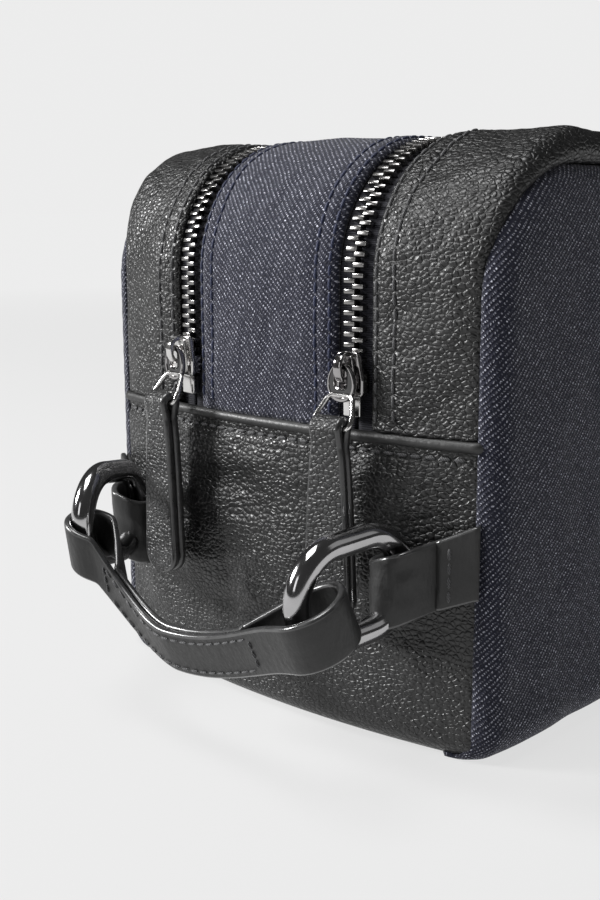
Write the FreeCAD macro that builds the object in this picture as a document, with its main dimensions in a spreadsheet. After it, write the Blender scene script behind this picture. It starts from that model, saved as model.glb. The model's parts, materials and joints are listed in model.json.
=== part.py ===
import FreeCAD, Part
import math
import os
import re
import Sketcher
from FreeCAD import Placement, Rotation, Vector

# A boxy shaving kit bag in denim and leather, with two zips over the top and a carry handle on the
# front end. Millimetres, +Z up, the handle end faces -Y, the origin is the centre of the base.

DIMENSIONS = [
    # the bag's outer form
    ("bag_width", 122.0),          # across, at the side panels
    ("bag_length", 267.0),         # end to end, at the bulge of the ends
    ("bag_height", 134.5),
    ("end_radius", 259.6),         # the bulge of the ends, seen from above
    ("top_corner", 31.0),          # the ends turn into the top
    ("base_corner", 5.2),         # the ends turn into the base
    ("side_corner", 5.0),          # the sides turn into everything else
    ("least_corner", 0.8),         # no inner layer turns tighter than this
    # layers, measured inwards from the outer form
    ("panel_depth", 2.0),
    ("tape_top", 2.05),
    ("tape_depth", 2.85),
    ("padding_top", 2.95),
    ("padding_depth", 4.75),
    ("lining_top", 4.85),
    ("lining_depth", 5.65),
    # seams
    ("seam_gap", 0.15),            # half the gap between two panels
    ("side_seam", 57.2),           # side panels start here
    ("base_seam", 47.0),           # the side panels end here under the bag
    ("end_seam", 114.0),           # the end panels end here under the bag
    ("mid_seam", 71.0),            # end panels end here, strips and zips start
    ("base_turn", 9.0),           # height of the panels' turn under the bag
    # zips
    ("zip_centre", 26.4),
    ("zip_opening", 8.8),
    ("tape_width", 9.0),
    ("tape_split", 0.3),           # from the zip's centre line to a tape
    ("tape_hem", 8.0),             # the tapes run this far below the mid seam
    ("tooth_pitch", 2.3),
    ("tooth_length", 0.95),
    ("tooth_reach", 2.5),          # from the centre line to a tooth's outer end
    ("tooth_overlap", 0.3),       # past the centre line
    ("tooth_top", 0.2),
    ("tooth_foot", 2.0),
    ("stop_bottom", 74.0),
    ("stop_width", 4.4),
    ("stop_length", 4.4),
    ("stop_rise", 0.4),
    ("first_tooth", 79.2),
    # slider, in its own frame: origin on the outer form, at the slider's centre, -Y outwards
    ("slider_rest", 83.5),
    ("slider_half", 5.0),
    ("slider_wide", 8.0),
    ("slider_narrow", 5.8),
    ("slider_lift", 0.5),
    ("slider_plate", 1.5),
    ("flange_inner", 3.05),
    ("flange_outer", 3.85),
    ("flange_foot", 1.6),
    ("bridge_width", 2.0),
    ("bridge_top", 4.4),
    ("bridge_bottom", -1.6),
    ("bridge_bar", 1.2),
    ("bridge_gap", 5.0),           # from the outer form to the inside of the arch
    ("inner_plate_top", 3.2),
    ("inner_plate_depth", 4.4),
    # pull link, wire and leather pull
    ("link_out", 4.0),
    ("link_pivot", 2.2),
    ("link_bar", 1.2),
    ("link_width", 7.0),
    ("link_window", 3.0),
    ("link_window_low", -2.7),
    ("link_foot", -5.6),
    ("link_boss", 2.2),
    ("wire_out", 4.3),
    ("wire_pivot", -4.3),
    ("wire_thick", 1.2),
    ("wire_bore", 1.7),
    ("wire_top_half", 2.4),
    ("wire_low_half", 4.95),
    ("wire_low", -10.8),
    ("wire_low_out", 8.3),         # the wire leans out, so the leather hangs clear
    ("pull_top_half", 4.0),
    ("pull_low_half", 6.1),
    ("pull_layer", 1.8),
    ("pull_roll", 2.6),
    ("pull_foot", -53.3),
    # ring, tab and handle, on the right; the left mirrors them
    ("ring_side", 43.0),
    ("ring_out", -145.7),
    ("ring_high", 42.5),
    ("ring_radius", 10.2),
    ("ring_straight", 9.0),
    ("ring_thick", 5.6),
    ("ring_droop", 3.0),
    ("ring_play", 0.4),
    ("tab_centre", -136.35),
    ("tab_inner", 4.6),
    ("tab_layer", 1.6),
    ("tab_height", 16.4),
    ("tab_high", 42.5),
    ("tab_end_out", -128.6),
    ("roll_out", 7.6),             # a roll's centre, outwards from the ring's outer bend centre
    ("roll_side", 45.5),
    ("roll_inner", 7.0),
    ("strap_layer", 1.7),
    ("strap_width", 12.0),
    ("strap_sag", 14.5),           # the middle of the handle below its ends
    ("strap_reach", 59.0),         # from the middle of the handle to where the sag begins
    ("strap_hang", 24.0),          # the handle hangs this far below straight out, in degrees
    ("strap_tail", 27.0),
    ("backing_half", 27.0),
]

doc = FreeCAD.newDocument("ShavingKitBag")
sheet = doc.addObject("Spreadsheet::Sheet", "Dims")
for row, (alias, value) in enumerate(DIMENSIONS, start=1):
    sheet.set(f"A{row}", alias)
    sheet.set(f"B{row}", str(value))
    sheet.setAlias(f"B{row}", alias)
doc.recompute()

PARTS = []


def dim(alias):
    """The value of a driving dimension."""
    return float(sheet.get(alias))


def bound(text):
    """An expression in which each dimension's name points at its cell."""
    return re.sub(r"[a-z]+_[a-z_]+", lambda word: "Dims." + word.group(), text)


def bind(obj, **expressions):
    """Bind properties to expressions; an underscore pair stands for a dot."""
    for name, text in expressions.items():
        obj.setExpression(name.replace("__", "."), bound(str(text)))


def keep(obj, label):
    """Count an object as a sub-part under its node's name."""
    obj.Label = label
    PARTS.append(obj)
    return obj


# ---------------------------------------------------------------- construction helpers

def box(name, x, y, z):
    """A block from x[0] to x[1] and so on, each an expression."""
    block = doc.addObject("Part::Box", name)
    bind(block, Length=f"({x[1]}) - ({x[0]})", Width=f"({y[1]}) - ({y[0]})",
         Height=f"({z[1]}) - ({z[0]})")
    bind(block, Placement__Base__x=x[0], Placement__Base__y=y[0], Placement__Base__z=z[0])
    return block


def joined(name, pieces):
    """Several objects as one solid."""
    if len(pieces) == 1:
        return pieces[0]
    union = doc.addObject("Part::MultiFuse", name)
    union.Shapes = pieces
    union.Refine = True
    return union


def common(name, first, second):
    result = doc.addObject("Part::Common", name)
    result.Base = first
    result.Tool = second
    return result


def cut(name, first, second):
    result = doc.addObject("Part::Cut", name)
    result.Base = first
    result.Tool = second
    return result


def origin_plane(body, role):
    return next(item for item in body.Origin.OriginFeatures if item.Role == role)


def sketch_on(body, role, name):
    sketch = body.newObject("Sketcher::SketchObject", name)
    sketch.AttachmentSupport = (origin_plane(body, role), [""])
    sketch.MapMode = "FlatFace"
    return sketch


def value_of(text):
    """An expression's value, worked out from the sheet."""
    numbers = re.sub(r"[a-z]+_[a-z_]+", lambda word: f"({dim(word.group())})", text)
    return float(FreeCAD.Units.Quantity(numbers).Value)


def outline(body, role, name, corners):
    """A closed polygon whose corners are bound to (across, up) expressions."""
    sketch = sketch_on(body, role, name)
    places = [Vector(value_of(a), value_of(b), 0) for a, b in corners]
    count = len(places)
    for index in range(count):
        sketch.addGeometry(Part.LineSegment(places[index], places[(index + 1) % count]), False)
    for index in range(count):
        sketch.addConstraint(Sketcher.Constraint("Coincident", index, 2, (index + 1) % count, 1))
    for index, (across, up) in enumerate(corners):
        for kind, text in (("DistanceX", across), ("DistanceY", up)):
            constraint = Sketcher.Constraint(kind, -1, 1, index, 1, value_of(text))
            number = sketch.addConstraint(constraint)
            sketch.setExpression(f"Constraints[{number}]", bound(text))
    return sketch


def edges_where(shape, test):
    """Names of the edges that pass a test."""
    return [f"Edge{number}" for number, edge in enumerate(shape.Edges, start=1) if test(edge)]


def fillet(body, base, edges, radius, name):
    rounding = body.newObject("PartDesign::Fillet", name)
    rounding.Base = (base, edges)
    bind(rounding, Radius=radius)
    doc.recompute()
    return rounding


def pad(body, sketch, length, name, midplane=False, reversed_side=False):
    block = body.newObject("PartDesign::Pad", name)
    block.Profile = sketch
    block.Midplane = midplane
    block.Reversed = reversed_side
    bind(block, Length=length)
    doc.recompute()
    return block


# ---------------------------------------------------------------- the bag's form

def form_plan(body, inset):
    """The bag seen from above: straight sides and bulged ends."""
    sketch = sketch_on(body, "XY_Plane", "Plan")
    half = dim("bag_width") / 2 - inset
    radius = dim("end_radius") - inset
    centre = dim("end_radius") - dim("bag_length") / 2
    swing = math.asin(half / radius)
    reach = radius * math.cos(swing) - centre
    front = Part.Circle(Vector(0, centre, 0), Vector(0, 0, 1), radius)
    back = Part.Circle(Vector(0, -centre, 0), Vector(0, 0, 1), radius)
    quarter = math.pi / 2
    sketch.addGeometry(Part.ArcOfCircle(front, 3 * quarter - swing, 3 * quarter + swing), False)
    sketch.addGeometry(Part.LineSegment(Vector(half, -reach, 0), Vector(half, reach, 0)), False)
    sketch.addGeometry(Part.ArcOfCircle(back, quarter - swing, quarter + swing), False)
    sketch.addGeometry(Part.LineSegment(Vector(-half, reach, 0), Vector(-half, -reach, 0)), False)
    for index in range(4):
        sketch.addConstraint(Sketcher.Constraint("Coincident", index, 2, (index + 1) % 4, 1))
    sketch.addConstraint(Sketcher.Constraint("Vertical", 1))
    sketch.addConstraint(Sketcher.Constraint("Vertical", 3))
    sketch.addConstraint(Sketcher.Constraint("PointOnObject", 0, 3, -2))
    sketch.addConstraint(Sketcher.Constraint("PointOnObject", 2, 3, -2))
    driving = [
        (("Radius", 0, radius), f"end_radius - {inset}"),
        (("Radius", 2, radius), f"end_radius - {inset}"),
        (("DistanceY", -1, 1, 0, 3, centre), "end_radius - bag_length / 2"),
        (("DistanceY", 2, 3, -1, 1, centre), "end_radius - bag_length / 2"),
        (("DistanceX", -1, 1, 1, 1, half), f"bag_width / 2 - {inset}"),
        (("DistanceX", 3, 1, -1, 1, half), f"bag_width / 2 - {inset}"),
    ]
    for arguments, text in driving:
        number = sketch.addConstraint(Sketcher.Constraint(*arguments))
        sketch.setExpression(f"Constraints[{number}]", bound(text))
    return sketch


def bag_form(name, layer):
    """The bag's rounded block, offset inwards to a layer."""
    inset = value_of(layer)
    body = doc.addObject("PartDesign::Body", name)
    bind(body, Placement__Base__z=layer)
    sketch = form_plan(body, inset)
    block = pad(body, sketch, f"bag_height - 2 * ({layer})", "Block")
    top = dim("bag_height") - 2 * inset

    def across_at(height):
        def test(edge):
            level = all(abs(vertex.Z - height) < 1e-4 for vertex in edge.Vertexes)
            return level and isinstance(edge.Curve, Part.Circle)
        return test

    def on_side(edge):
        return all(abs(abs(vertex.X) - dim("bag_width") / 2 + inset) < 1e-4
                   for vertex in edge.Vertexes)

    block = fillet(body, block, edges_where(local_shape(body), across_at(top)),
                   f"top_corner - ({layer})", "TopCorners")
    block = fillet(body, block, edges_where(local_shape(body), across_at(0.0)),
                   f"max(base_corner - ({layer}); least_corner + 0.1)", "BaseCorners")
    fillet(body, block, edges_where(local_shape(body), on_side),
           f"max(side_corner - ({layer}); least_corner)", "SideCorners")
    return body


def local_shape(body):
    """A body's shape in its own frame, with the tip's edge numbering."""
    return body.Tip.Shape


def layer_shell(name, top, depth):
    """The space between two offsets of the form."""
    return cut(name, bag_form(name + "Outer", top), bag_form(name + "Inner", depth))


FAR = ("-200", "200")
LOW = "-10"
HIGH = "bag_height + 10"


def spans(side, near, far):
    """A range of X on one side of the bag: side is +1 right or -1 left."""
    if side > 0:
        return (near, far)
    return (f"-({far})", f"-({near})")


def name_of(side):
    return "right" if side > 0 else "left"


def panels(shell):
    """The outer panels: two sides, the base, two ends and three strips over the top."""
    for side in (1, -1):
        word = name_of(side)
        wall = box(f"SideWall{word}", spans(side, "side_seam + seam_gap", "bag_width"),
                   FAR, (LOW, HIGH))
        turn = box(f"SideTurn{word}", spans(side, "base_seam + seam_gap", "bag_width"),
                   ("-end_seam", "end_seam"), (LOW, "base_turn"))
        keep(common(f"SidePanel{word}", shell, joined(f"SideRegion{word}", [wall, turn])),
             f"side_panel_{word}")
        strip = box(f"StripRegion{word}",
                    spans(side, "zip_centre + zip_opening / 2", "side_seam - seam_gap"),
                    FAR, ("mid_seam + seam_gap", HIGH))
        keep(common(f"TopStrip{word}", shell, strip), f"top_strip_{word}")
    base = box("BaseRegion", ("-base_seam + seam_gap", "base_seam - seam_gap"),
               ("-end_seam + seam_gap", "end_seam - seam_gap"), (LOW, "base_turn"))
    keep(common("BasePanel", shell, base), "base_panel")
    centre = box("CentreRegion", ("-zip_centre + zip_opening / 2", "zip_centre - zip_opening / 2"),
                 FAR, ("mid_seam + seam_gap", HIGH))
    keep(common("CentreStrip", shell, centre), "top_centre_strip")
    for word, depth in (("front", ("-200", "-end_seam - seam_gap")),
                        ("back", ("end_seam + seam_gap", "200"))):
        region = box(f"EndRegion{word}", ("-side_seam + seam_gap", "side_seam - seam_gap"),
                     depth, (LOW, "mid_seam - seam_gap"))
        keep(common(f"EndPanel{word}", shell, region), f"end_panel_{word}")


def tapes(shell):
    """Four zip tapes, which run from hem to hem over the top."""
    for side in (1, -1):
        for place, near, far in (
                ("outer", "zip_centre + tape_split", "zip_centre + tape_width"),
                ("inner", "zip_centre - tape_width", "zip_centre - tape_split")):
            region = box(f"TapeRegion{name_of(side)}{place}", spans(side, near, far), FAR,
                         ("mid_seam - tape_hem", HIGH))
            keep(common(f"Tape{name_of(side)}{place}", shell, region),
                 f"zip_tape_{name_of(side)}_{place}")


def padding(shell):
    """Foam behind the sides, the ends and the centre strip."""
    for side in (1, -1):
        region = box(f"SideFoam{name_of(side)}", spans(side, "zip_centre + 14", "bag_width"),
                     FAR, ("base_turn", HIGH))
        keep(common(f"SidePadding{name_of(side)}", shell, region),
             f"side_padding_{name_of(side)}")
    for word, depth in (("front", ("-200", "-end_seam")), ("back", ("end_seam", "200"))):
        region = box(f"EndFoam{word}", ("-zip_centre - 13", "zip_centre + 13"), depth,
                     ("base_turn", "mid_seam - tape_hem"))
        keep(common(f"EndPadding{word}", shell, region), f"end_padding_{word}")
    region = box("TopFoam", ("-zip_centre + 13", "zip_centre - 13"), FAR,
                 ("mid_seam - tape_hem + 1", HIGH))
    keep(common("TopPadding", shell, region), "top_padding")


def lining(shell):
    """Two halves sewn at the middle, and a strip between the zips."""
    split = "mid_seam - tape_hem"
    for side in (1, -1):
        upper = box(f"LiningUpper{name_of(side)}",
                    spans(side, "zip_centre + tape_width", "bag_width"), FAR, (LOW, HIGH))
        lower = box(f"LiningLower{name_of(side)}", spans(side, "seam_gap", "bag_width"), FAR,
                    (LOW, split))
        keep(common(f"Lining{name_of(side)}", shell,
                    joined(f"LiningRegion{name_of(side)}", [upper, lower])),
             f"lining_{name_of(side)}")
    centre = box("LiningCentre", ("-zip_centre + tape_width", "zip_centre - tape_width"), FAR,
                 (f"{split} + 2 * seam_gap", HIGH))
    keep(common("LiningTop", shell, centre), "lining_top_centre")


def base_board():
    """The stiff board between the base panel and the lining."""
    board = box("BaseBoard", ("-base_seam", "base_seam"), ("-end_seam", "end_seam"),
                ("padding_top", "padding_depth"))
    keep(board, "base_board")


# ---------------------------------------------------------------- zips

def front_of(across):
    """Y of the front end's surface at a place across the bag."""
    centre = dim("end_radius") - dim("bag_length") / 2
    return centre - math.sqrt(dim("end_radius") ** 2 - across ** 2)


def zip_route(distance, inset):
    """A point on a zip's route and its outward direction, as (y, z) pairs."""
    across = dim("zip_centre")
    face = -front_of(across)
    corner = dim("top_corner")
    rise = dim("bag_height") - corner - dim("first_tooth")
    turn = corner * math.pi / 2
    middle = rise + turn + face - corner
    mirrored = distance > middle
    if mirrored:
        distance = 2 * middle - distance
    sign = 1 if mirrored else -1
    if distance < rise:
        return (sign * (face - inset), dim("first_tooth") + distance), (sign, 0.0)
    centre = (sign * (face - corner), dim("bag_height") - corner)
    if distance < rise + turn:
        angle = (distance - rise) / corner
        out = (sign * math.cos(angle), math.sin(angle))
        reach = corner - inset
        return (centre[0] + out[0] * reach, centre[1] + out[1] * reach), out
    along = distance - rise - turn
    return (centre[0] - sign * along, dim("bag_height") - inset), (0.0, 1.0)


def zip_length():
    face = -front_of(dim("zip_centre"))
    corner = dim("top_corner")
    rise = dim("bag_height") - corner - dim("first_tooth")
    return 2 * (rise + corner * math.pi / 2 + face - corner)


def tooth_row(side, outer):
    """One row of teeth, as a group of separate blocks clamped on a tape's edge."""
    pitch = dim("tooth_pitch")
    thick = dim("tooth_length")
    tall = dim("tooth_foot") - dim("tooth_top")
    wide = dim("tooth_reach") + dim("tooth_overlap")
    start = 0.0 if outer else pitch / 2
    count = int((zip_length() - start) / pitch)
    teeth = []
    for index in range(count):
        (y, z), out = zip_route(start + index * pitch, dim("tooth_foot"))
        tooth = Part.makeBox(wide, thick, tall, Vector(0, -thick / 2, 0))
        near = -dim("tooth_overlap") if outer == (side > 0) else -dim("tooth_reach")
        tooth.translate(Vector(near, 0, 0))
        lean = math.degrees(math.atan2(-out[0], out[1]))
        turn = Rotation(Vector(1, 0, 0), lean).multiply(
            Rotation(Vector(0, 1, 0), side * end_tilt() * abs(out[0])))
        tooth.Placement = Placement(Vector(side * dim("zip_centre"), y, z),
                                    turn).multiply(tooth.Placement)
        teeth.append(tooth)
    row = doc.addObject("Part::Feature", f"Teeth{name_of(side)}{'Outer' if outer else 'Inner'}")
    row.Shape = Part.makeCompound(teeth)
    row.Placement = Placement()
    keep(row, f"zip_teeth_{name_of(side)}_{'outer' if outer else 'inner'}")


def end_tilt():
    """How far the end's surface is turned at a zip, in degrees."""
    return math.degrees(math.asin(dim("zip_centre") / dim("end_radius")))


def seat_on_end(obj, side, height):
    """Stand an object's own frame on the front end's surface at a zip."""
    across = side * dim("zip_centre")
    bind(obj, Placement__Base__x=f"{side} * zip_centre", Placement__Base__z=height)
    obj.Placement = Placement(Vector(across, front_of(across), value_of(height)),
                              Rotation(Vector(0, 0, 1), side * end_tilt()))
    bind(obj, Placement__Base__x=f"{side} * zip_centre", Placement__Base__z=height)


def end_stops(side):
    """The square metal stops at the two ends of a zip."""
    for end, word in ((-1, "front"), (1, "back")):
        stop = doc.addObject("Part::Box", f"Stop{word}{name_of(side)}")
        bind(stop, Length="stop_width", Width="stop_rise + tape_top", Height="stop_length")
        across = side * dim("zip_centre")
        turn = Rotation(Vector(0, 0, 1), side * end_tilt() * -end)
        reach = end * -front_of(across)
        lift = dim("stop_rise") if end < 0 else -dim("tape_top")
        offset = turn.multVec(Vector(-dim("stop_width") / 2, end * lift if end < 0 else lift, 0))
        stop.Placement = Placement(Vector(across, reach, dim("stop_bottom")) + offset, turn)
        keep(stop, f"zip_stop_{name_of(side)}_{word}")


def slider(side):
    """The slider's outer half: a tapered plate with side flanges and a bridge."""
    word = name_of(side)
    body = doc.addObject("PartDesign::Body", f"Slider{word}")
    low = "-slider_half"
    high = "slider_half"
    wide = "slider_wide / 2"
    narrow = "slider_narrow / 2"
    plate = outline(body, "XZ_Plane", f"PlateOutline{word}", [
        (f"-({wide}) + 1", low), (f"{wide} - 1", low), (wide, f"{low} + 1"),
        (wide, f"{low} + 4"), (narrow, f"{high} - 1.5"), (f"{narrow} - 1", high),
        (f"-({narrow}) + 1", high), (f"-({narrow})", f"{high} - 1.5"),
        (f"-({wide})", f"{low} + 4"), (f"-({wide})", f"{low} + 1")])
    bind(plate, AttachmentOffset__Base__z="slider_lift")
    pad(body, plate, "slider_plate", f"Plate{word}")
    for sign in (-1, 1):
        edges = sorted([f"{sign} * flange_inner", f"{sign} * flange_outer"], key=value_of)
        flange = outline(body, "XZ_Plane", f"FlangeOutline{word}{sign + 1}", [
            (edges[0], f"{low} + 1"), (edges[1], f"{low} + 1"),
            (edges[1], f"{low} + 5"), (edges[0], f"{low} + 5")])
        bind(flange, AttachmentOffset__Base__z="-flange_foot")
        pad(body, flange, "flange_foot + slider_lift + 0.2", f"Flange{word}{sign + 1}")
    foot = "-(slider_lift + slider_plate - 0.2)"
    inside = "-bridge_gap"
    outside = "-(bridge_gap + bridge_bar)"
    arch = outline(body, "YZ_Plane", f"ArchOutline{word}", [
        (foot, "bridge_top"), (inside, "bridge_top"), (outside, "bridge_top - bridge_bar"),
        (outside, "bridge_bottom + bridge_bar"), (inside, "bridge_bottom"),
        (foot, "bridge_bottom"), (foot, "bridge_bottom + bridge_bar"),
        (inside, "bridge_bottom + bridge_bar"), (inside, "bridge_top - bridge_bar"),
        (foot, "bridge_top - bridge_bar")])
    pad(body, arch, "bridge_width", f"Arch{word}", midplane=True)
    seat_on_end(body, side, "slider_rest")
    keep(body, f"slider_{word}")


def slider_inner_plate(side):
    """The slider's inner half, which runs under the tapes inside the bag."""
    word = name_of(side)
    body = doc.addObject("PartDesign::Body", f"InnerPlate{word}")
    plate = outline(body, "XZ_Plane", f"InnerOutline{word}", [
        ("-slider_wide / 2 + 1", "-slider_half"), ("slider_wide / 2 - 1", "-slider_half"),
        ("slider_wide / 2", "-slider_half + 1"), ("slider_wide / 2", "-slider_half + 4"),
        ("slider_narrow / 2", "slider_half"), ("-slider_narrow / 2", "slider_half"),
        ("-slider_wide / 2", "-slider_half + 4"), ("-slider_wide / 2", "-slider_half + 1")])
    bind(plate, AttachmentOffset__Base__z="-inner_plate_depth")
    pad(body, plate, "inner_plate_depth - inner_plate_top", f"InnerPad{word}")
    seat_on_end(body, side, "slider_rest")
    keep(body, f"slider_{word}_inner_plate")


def pull_link(side):
    """A teardrop plate with a window round the bridge and a cross bore for the wire."""
    word = name_of(side)
    body = doc.addObject("PartDesign::Body", f"Link{word}")
    half = "link_width / 2"
    plate = outline(body, "XZ_Plane", f"LinkOutline{word}", [
        ("-link_window / 2", "link_foot"), ("link_window / 2", "link_foot"),
        (f"{half} - 0.6", "link_foot + 2.2"), (half, "link_foot + 4.6"),
        (f"{half} - 0.5", "link_pivot - 0.6"), (f"{half} - 1.6", "link_pivot + link_bar / 2"),
        (f"-({half}) + 1.6", "link_pivot + link_bar / 2"), (f"-({half}) + 0.5", "link_pivot - 0.6"),
        (f"-({half})", "link_foot + 4.6"), (f"-({half}) + 0.6", "link_foot + 2.2")])
    bind(plate, AttachmentOffset__Base__z="link_out - link_bar / 2")
    pad(body, plate, "link_bar", f"LinkPlate{word}")
    boss = outline(body, "XZ_Plane", f"BossOutline{word}", [
        ("-link_window / 2", "link_foot"), ("link_window / 2", "link_foot"),
        ("link_window / 2 + 0.4", "wire_pivot + 1.4"), ("-link_window / 2 - 0.4", "wire_pivot + 1.4")])
    bind(boss, AttachmentOffset__Base__z="wire_out - link_boss / 2")
    pad(body, boss, "link_boss", f"LinkBoss{word}")
    window = outline(body, "XZ_Plane", f"WindowOutline{word}", [
        ("-link_window / 2", "link_window_low"), ("link_window / 2", "link_window_low"),
        ("link_window / 2", "link_pivot - link_bar / 2"),
        ("-link_window / 2", "link_pivot - link_bar / 2")])
    bind(window, AttachmentOffset__Base__z="0")
    before = body.Shape.Volume
    opening = body.newObject("PartDesign::Pocket", f"Window{word}")
    opening.Profile = window
    opening.Reversed = True
    bind(opening, Length="link_out * 2")
    doc.recompute()
    if body.Shape.Volume >= before:
        raise RuntimeError("the link's window cut nothing")
    seat_on_end(body, side, "slider_rest")
    bore = doc.addObject("Part::Cylinder", f"WireBore{word}")
    bind(bore, Radius="wire_bore / 2", Height="link_width + 2")
    across = side * dim("zip_centre")
    seat = Placement(Vector(across, front_of(across), dim("slider_rest")),
                     Rotation(Vector(0, 0, 1), side * end_tilt()))
    start = Placement(Vector(-dim("link_width") / 2 - 1, -dim("wire_out"), dim("wire_pivot")),
                      Rotation(Vector(0, 1, 0), 90))
    bore.Placement = seat.multiply(start)
    keep(cut(f"LinkBored{word}", body, bore), f"pull_link_{word}")


def rounded_path(corners, radii):
    """A closed wire of straight runs and arcs through corners."""
    count = len(corners)
    pieces = []
    entries = []
    for index in range(count):
        corner = corners[index]
        before = (corners[index - 1] - corner).normalize()
        after = (corners[(index + 1) % count] - corner).normalize()
        opening = before.getAngle(after)
        back = radii[index] / math.tan(opening / 2)
        middle = (before + after).normalize()
        reach = radii[index] / math.sin(opening / 2) - radii[index]
        entries.append((corner + before * back, corner + middle * reach, corner + after * back))
    for index in range(count):
        start, middle, end = entries[index]
        pieces.append(Part.Arc(start, middle, end).toShape())
        pieces.append(Part.LineSegment(end, entries[(index + 1) % count][0]).toShape())
    return Part.Wire(pieces)


def tube_along(path, radius):
    """A round bar along a wire, closed or not."""
    edge = path.Edges[-1]
    start = edge.valueAt((edge.FirstParameter + edge.LastParameter) / 2)
    heading = edge.tangentAt((edge.FirstParameter + edge.LastParameter) / 2)
    profile = Part.Wire([Part.Circle(start, heading, radius).toShape()])
    return path.makePipeShell([profile], True, True)


def pull_wire(side):
    """The bent wire ring between the link and the leather pull."""
    top = Vector(0, -dim("wire_out"), dim("wire_pivot"))
    low = Vector(0, -dim("wire_low_out"), dim("wire_low"))
    shoulder = top + (low - top) * 0.62
    wide = Vector(dim("wire_low_half"), 0, 0)
    narrow = Vector(dim("wire_top_half"), 0, 0)
    corners = [top - narrow, top + narrow, shoulder + wide, low + wide, low - wide, shoulder - wide]
    path = rounded_path(corners, [0.9, 0.9, 1.2, 1.2, 1.2, 1.2])
    wire = doc.addObject("Part::Feature", f"PullWire{name_of(side)}")
    wire.Shape = tube_along(path, dim("wire_thick") / 2)
    seat_on_end(wire, side, "slider_rest")
    keep(wire, f"pull_wire_{name_of(side)}")


def leather_pull(side):
    """A strip folded over the wire: two layers, widening to a rounded foot."""
    out = -dim("wire_low_out")
    low = dim("wire_low")
    foot = dim("pull_foot")
    layer = dim("pull_layer")
    roll = dim("pull_roll")
    drop = math.sqrt(roll ** 2 - layer ** 2)
    arc = Part.Arc(Vector(0, out + layer, low - drop), Vector(0, out, low + roll),
                   Vector(0, out - layer, low - drop)).toShape()
    side_wire = Part.Wire([arc,
                           Part.makeLine(Vector(0, out - layer, low - drop),
                                         Vector(0, out - layer, foot)),
                           Part.makeLine(Vector(0, out - layer, foot), Vector(0, out + layer, foot)),
                           Part.makeLine(Vector(0, out + layer, foot),
                                         Vector(0, out + layer, low - drop))])
    wide = dim("pull_low_half")
    narrow = dim("pull_top_half")
    profile = Part.Face(side_wire).extrude(Vector(2 * wide, 0, 0))
    profile.translate(Vector(-wide, 0, 0))
    turn = foot + wide
    top = low + roll + 1
    front = [Part.makeLine(Vector(narrow, 0, top), Vector(-narrow, 0, top)),
             Part.makeLine(Vector(-narrow, 0, top), Vector(-narrow, 0, low - 4)),
             Part.makeLine(Vector(-narrow, 0, low - 4), Vector(-wide, 0, turn)),
             Part.Arc(Vector(-wide, 0, turn), Vector(0, 0, foot), Vector(wide, 0, turn)).toShape(),
             Part.makeLine(Vector(wide, 0, turn), Vector(narrow, 0, low - 4)),
             Part.makeLine(Vector(narrow, 0, low - 4), Vector(narrow, 0, top))]
    shape = Part.Face(Part.Wire(front)).extrude(Vector(0, 2 * out, 0))
    bore = Part.makeCylinder(dim("wire_bore") / 2, 4 * wide, Vector(-2 * wide, out, low),
                             Vector(1, 0, 0))
    pull = doc.addObject("Part::Feature", f"LeatherPull{name_of(side)}")
    pull.Shape = profile.common(shape).cut(bore)
    seat_on_end(pull, side, "slider_rest")
    keep(pull, f"leather_pull_{name_of(side)}")


# ---------------------------------------------------------------- rings, tabs and handle

def ring_axis(away=0.0):
    """A point on a ring's long axis, measured outwards from its pivot."""
    droop = math.radians(dim("ring_droop"))
    return Vector(0, dim("ring_out") - away * math.cos(droop),
                  dim("ring_high") - away * math.sin(droop))


def ring(side):
    """An oval ring of round bar in a plane across X."""
    word = name_of(side)
    pieces = []
    for end, away in (("Inner", 0.0), ("Outer", dim("ring_straight"))):
        bend = doc.addObject("Part::Torus", f"RingBend{end}{word}")
        bind(bend, Radius1="ring_radius", Radius2="ring_thick / 2")
        bend.Angle3 = 180
        # a half torus lies on its own +Y side: stand its axis on X, then face it in or out
        stand = Rotation(Vector(0, 1, 0), 90)
        flip = 0 if end == "Inner" else 180
        face = Rotation(Vector(1, 0, 0), dim("ring_droop") + flip)
        bend.Placement = Placement(ring_axis(away) + Vector(side * dim("ring_side"), 0, 0),
                                   face.multiply(stand))
        pieces.append(bend)
    droop = math.radians(dim("ring_droop"))
    upward = Vector(0, -math.sin(droop), math.cos(droop))
    for sign in (-1, 1):
        bar = doc.addObject("Part::Cylinder", f"RingBar{sign + 1}{word}")
        bind(bar, Radius="ring_thick / 2", Height="ring_straight")
        start = ring_axis() + upward * (sign * dim("ring_radius"))
        bar.Placement = Placement(start + Vector(side * dim("ring_side"), 0, 0),
                                  Rotation(Vector(1, 0, 0), 90 + dim("ring_droop")))
        pieces.append(bar)
    keep(joined(f"Ring{word}", pieces), f"ring_{word}")


def tangent_points(centre, radius, point):
    """Where the two lines from a point touch a circle, in the XY plane."""
    towards = point - centre
    distance = towards.Length
    swing = math.acos(radius / distance)
    heading = math.atan2(towards.y, towards.x)
    return [centre + Vector(math.cos(heading + turn), math.sin(heading + turn), 0) * radius
            for turn in (swing, -swing)]


def teardrop(centre, radius, point):
    """The outline of a strap folded round a circle with its ends together at a point."""
    first, second = tangent_points(centre, radius, point)
    far = centre + (centre - point).normalize() * radius
    return Part.Face(Part.Wire([Part.makeLine(point, first), Part.Arc(first, far, second).toShape(),
                                Part.makeLine(second, point)]))


def standing(face, low, high):
    """A flat outline in XY, stood up between two heights."""
    face.translate(Vector(0, 0, low))
    return face.extrude(Vector(0, 0, high - low))


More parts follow.
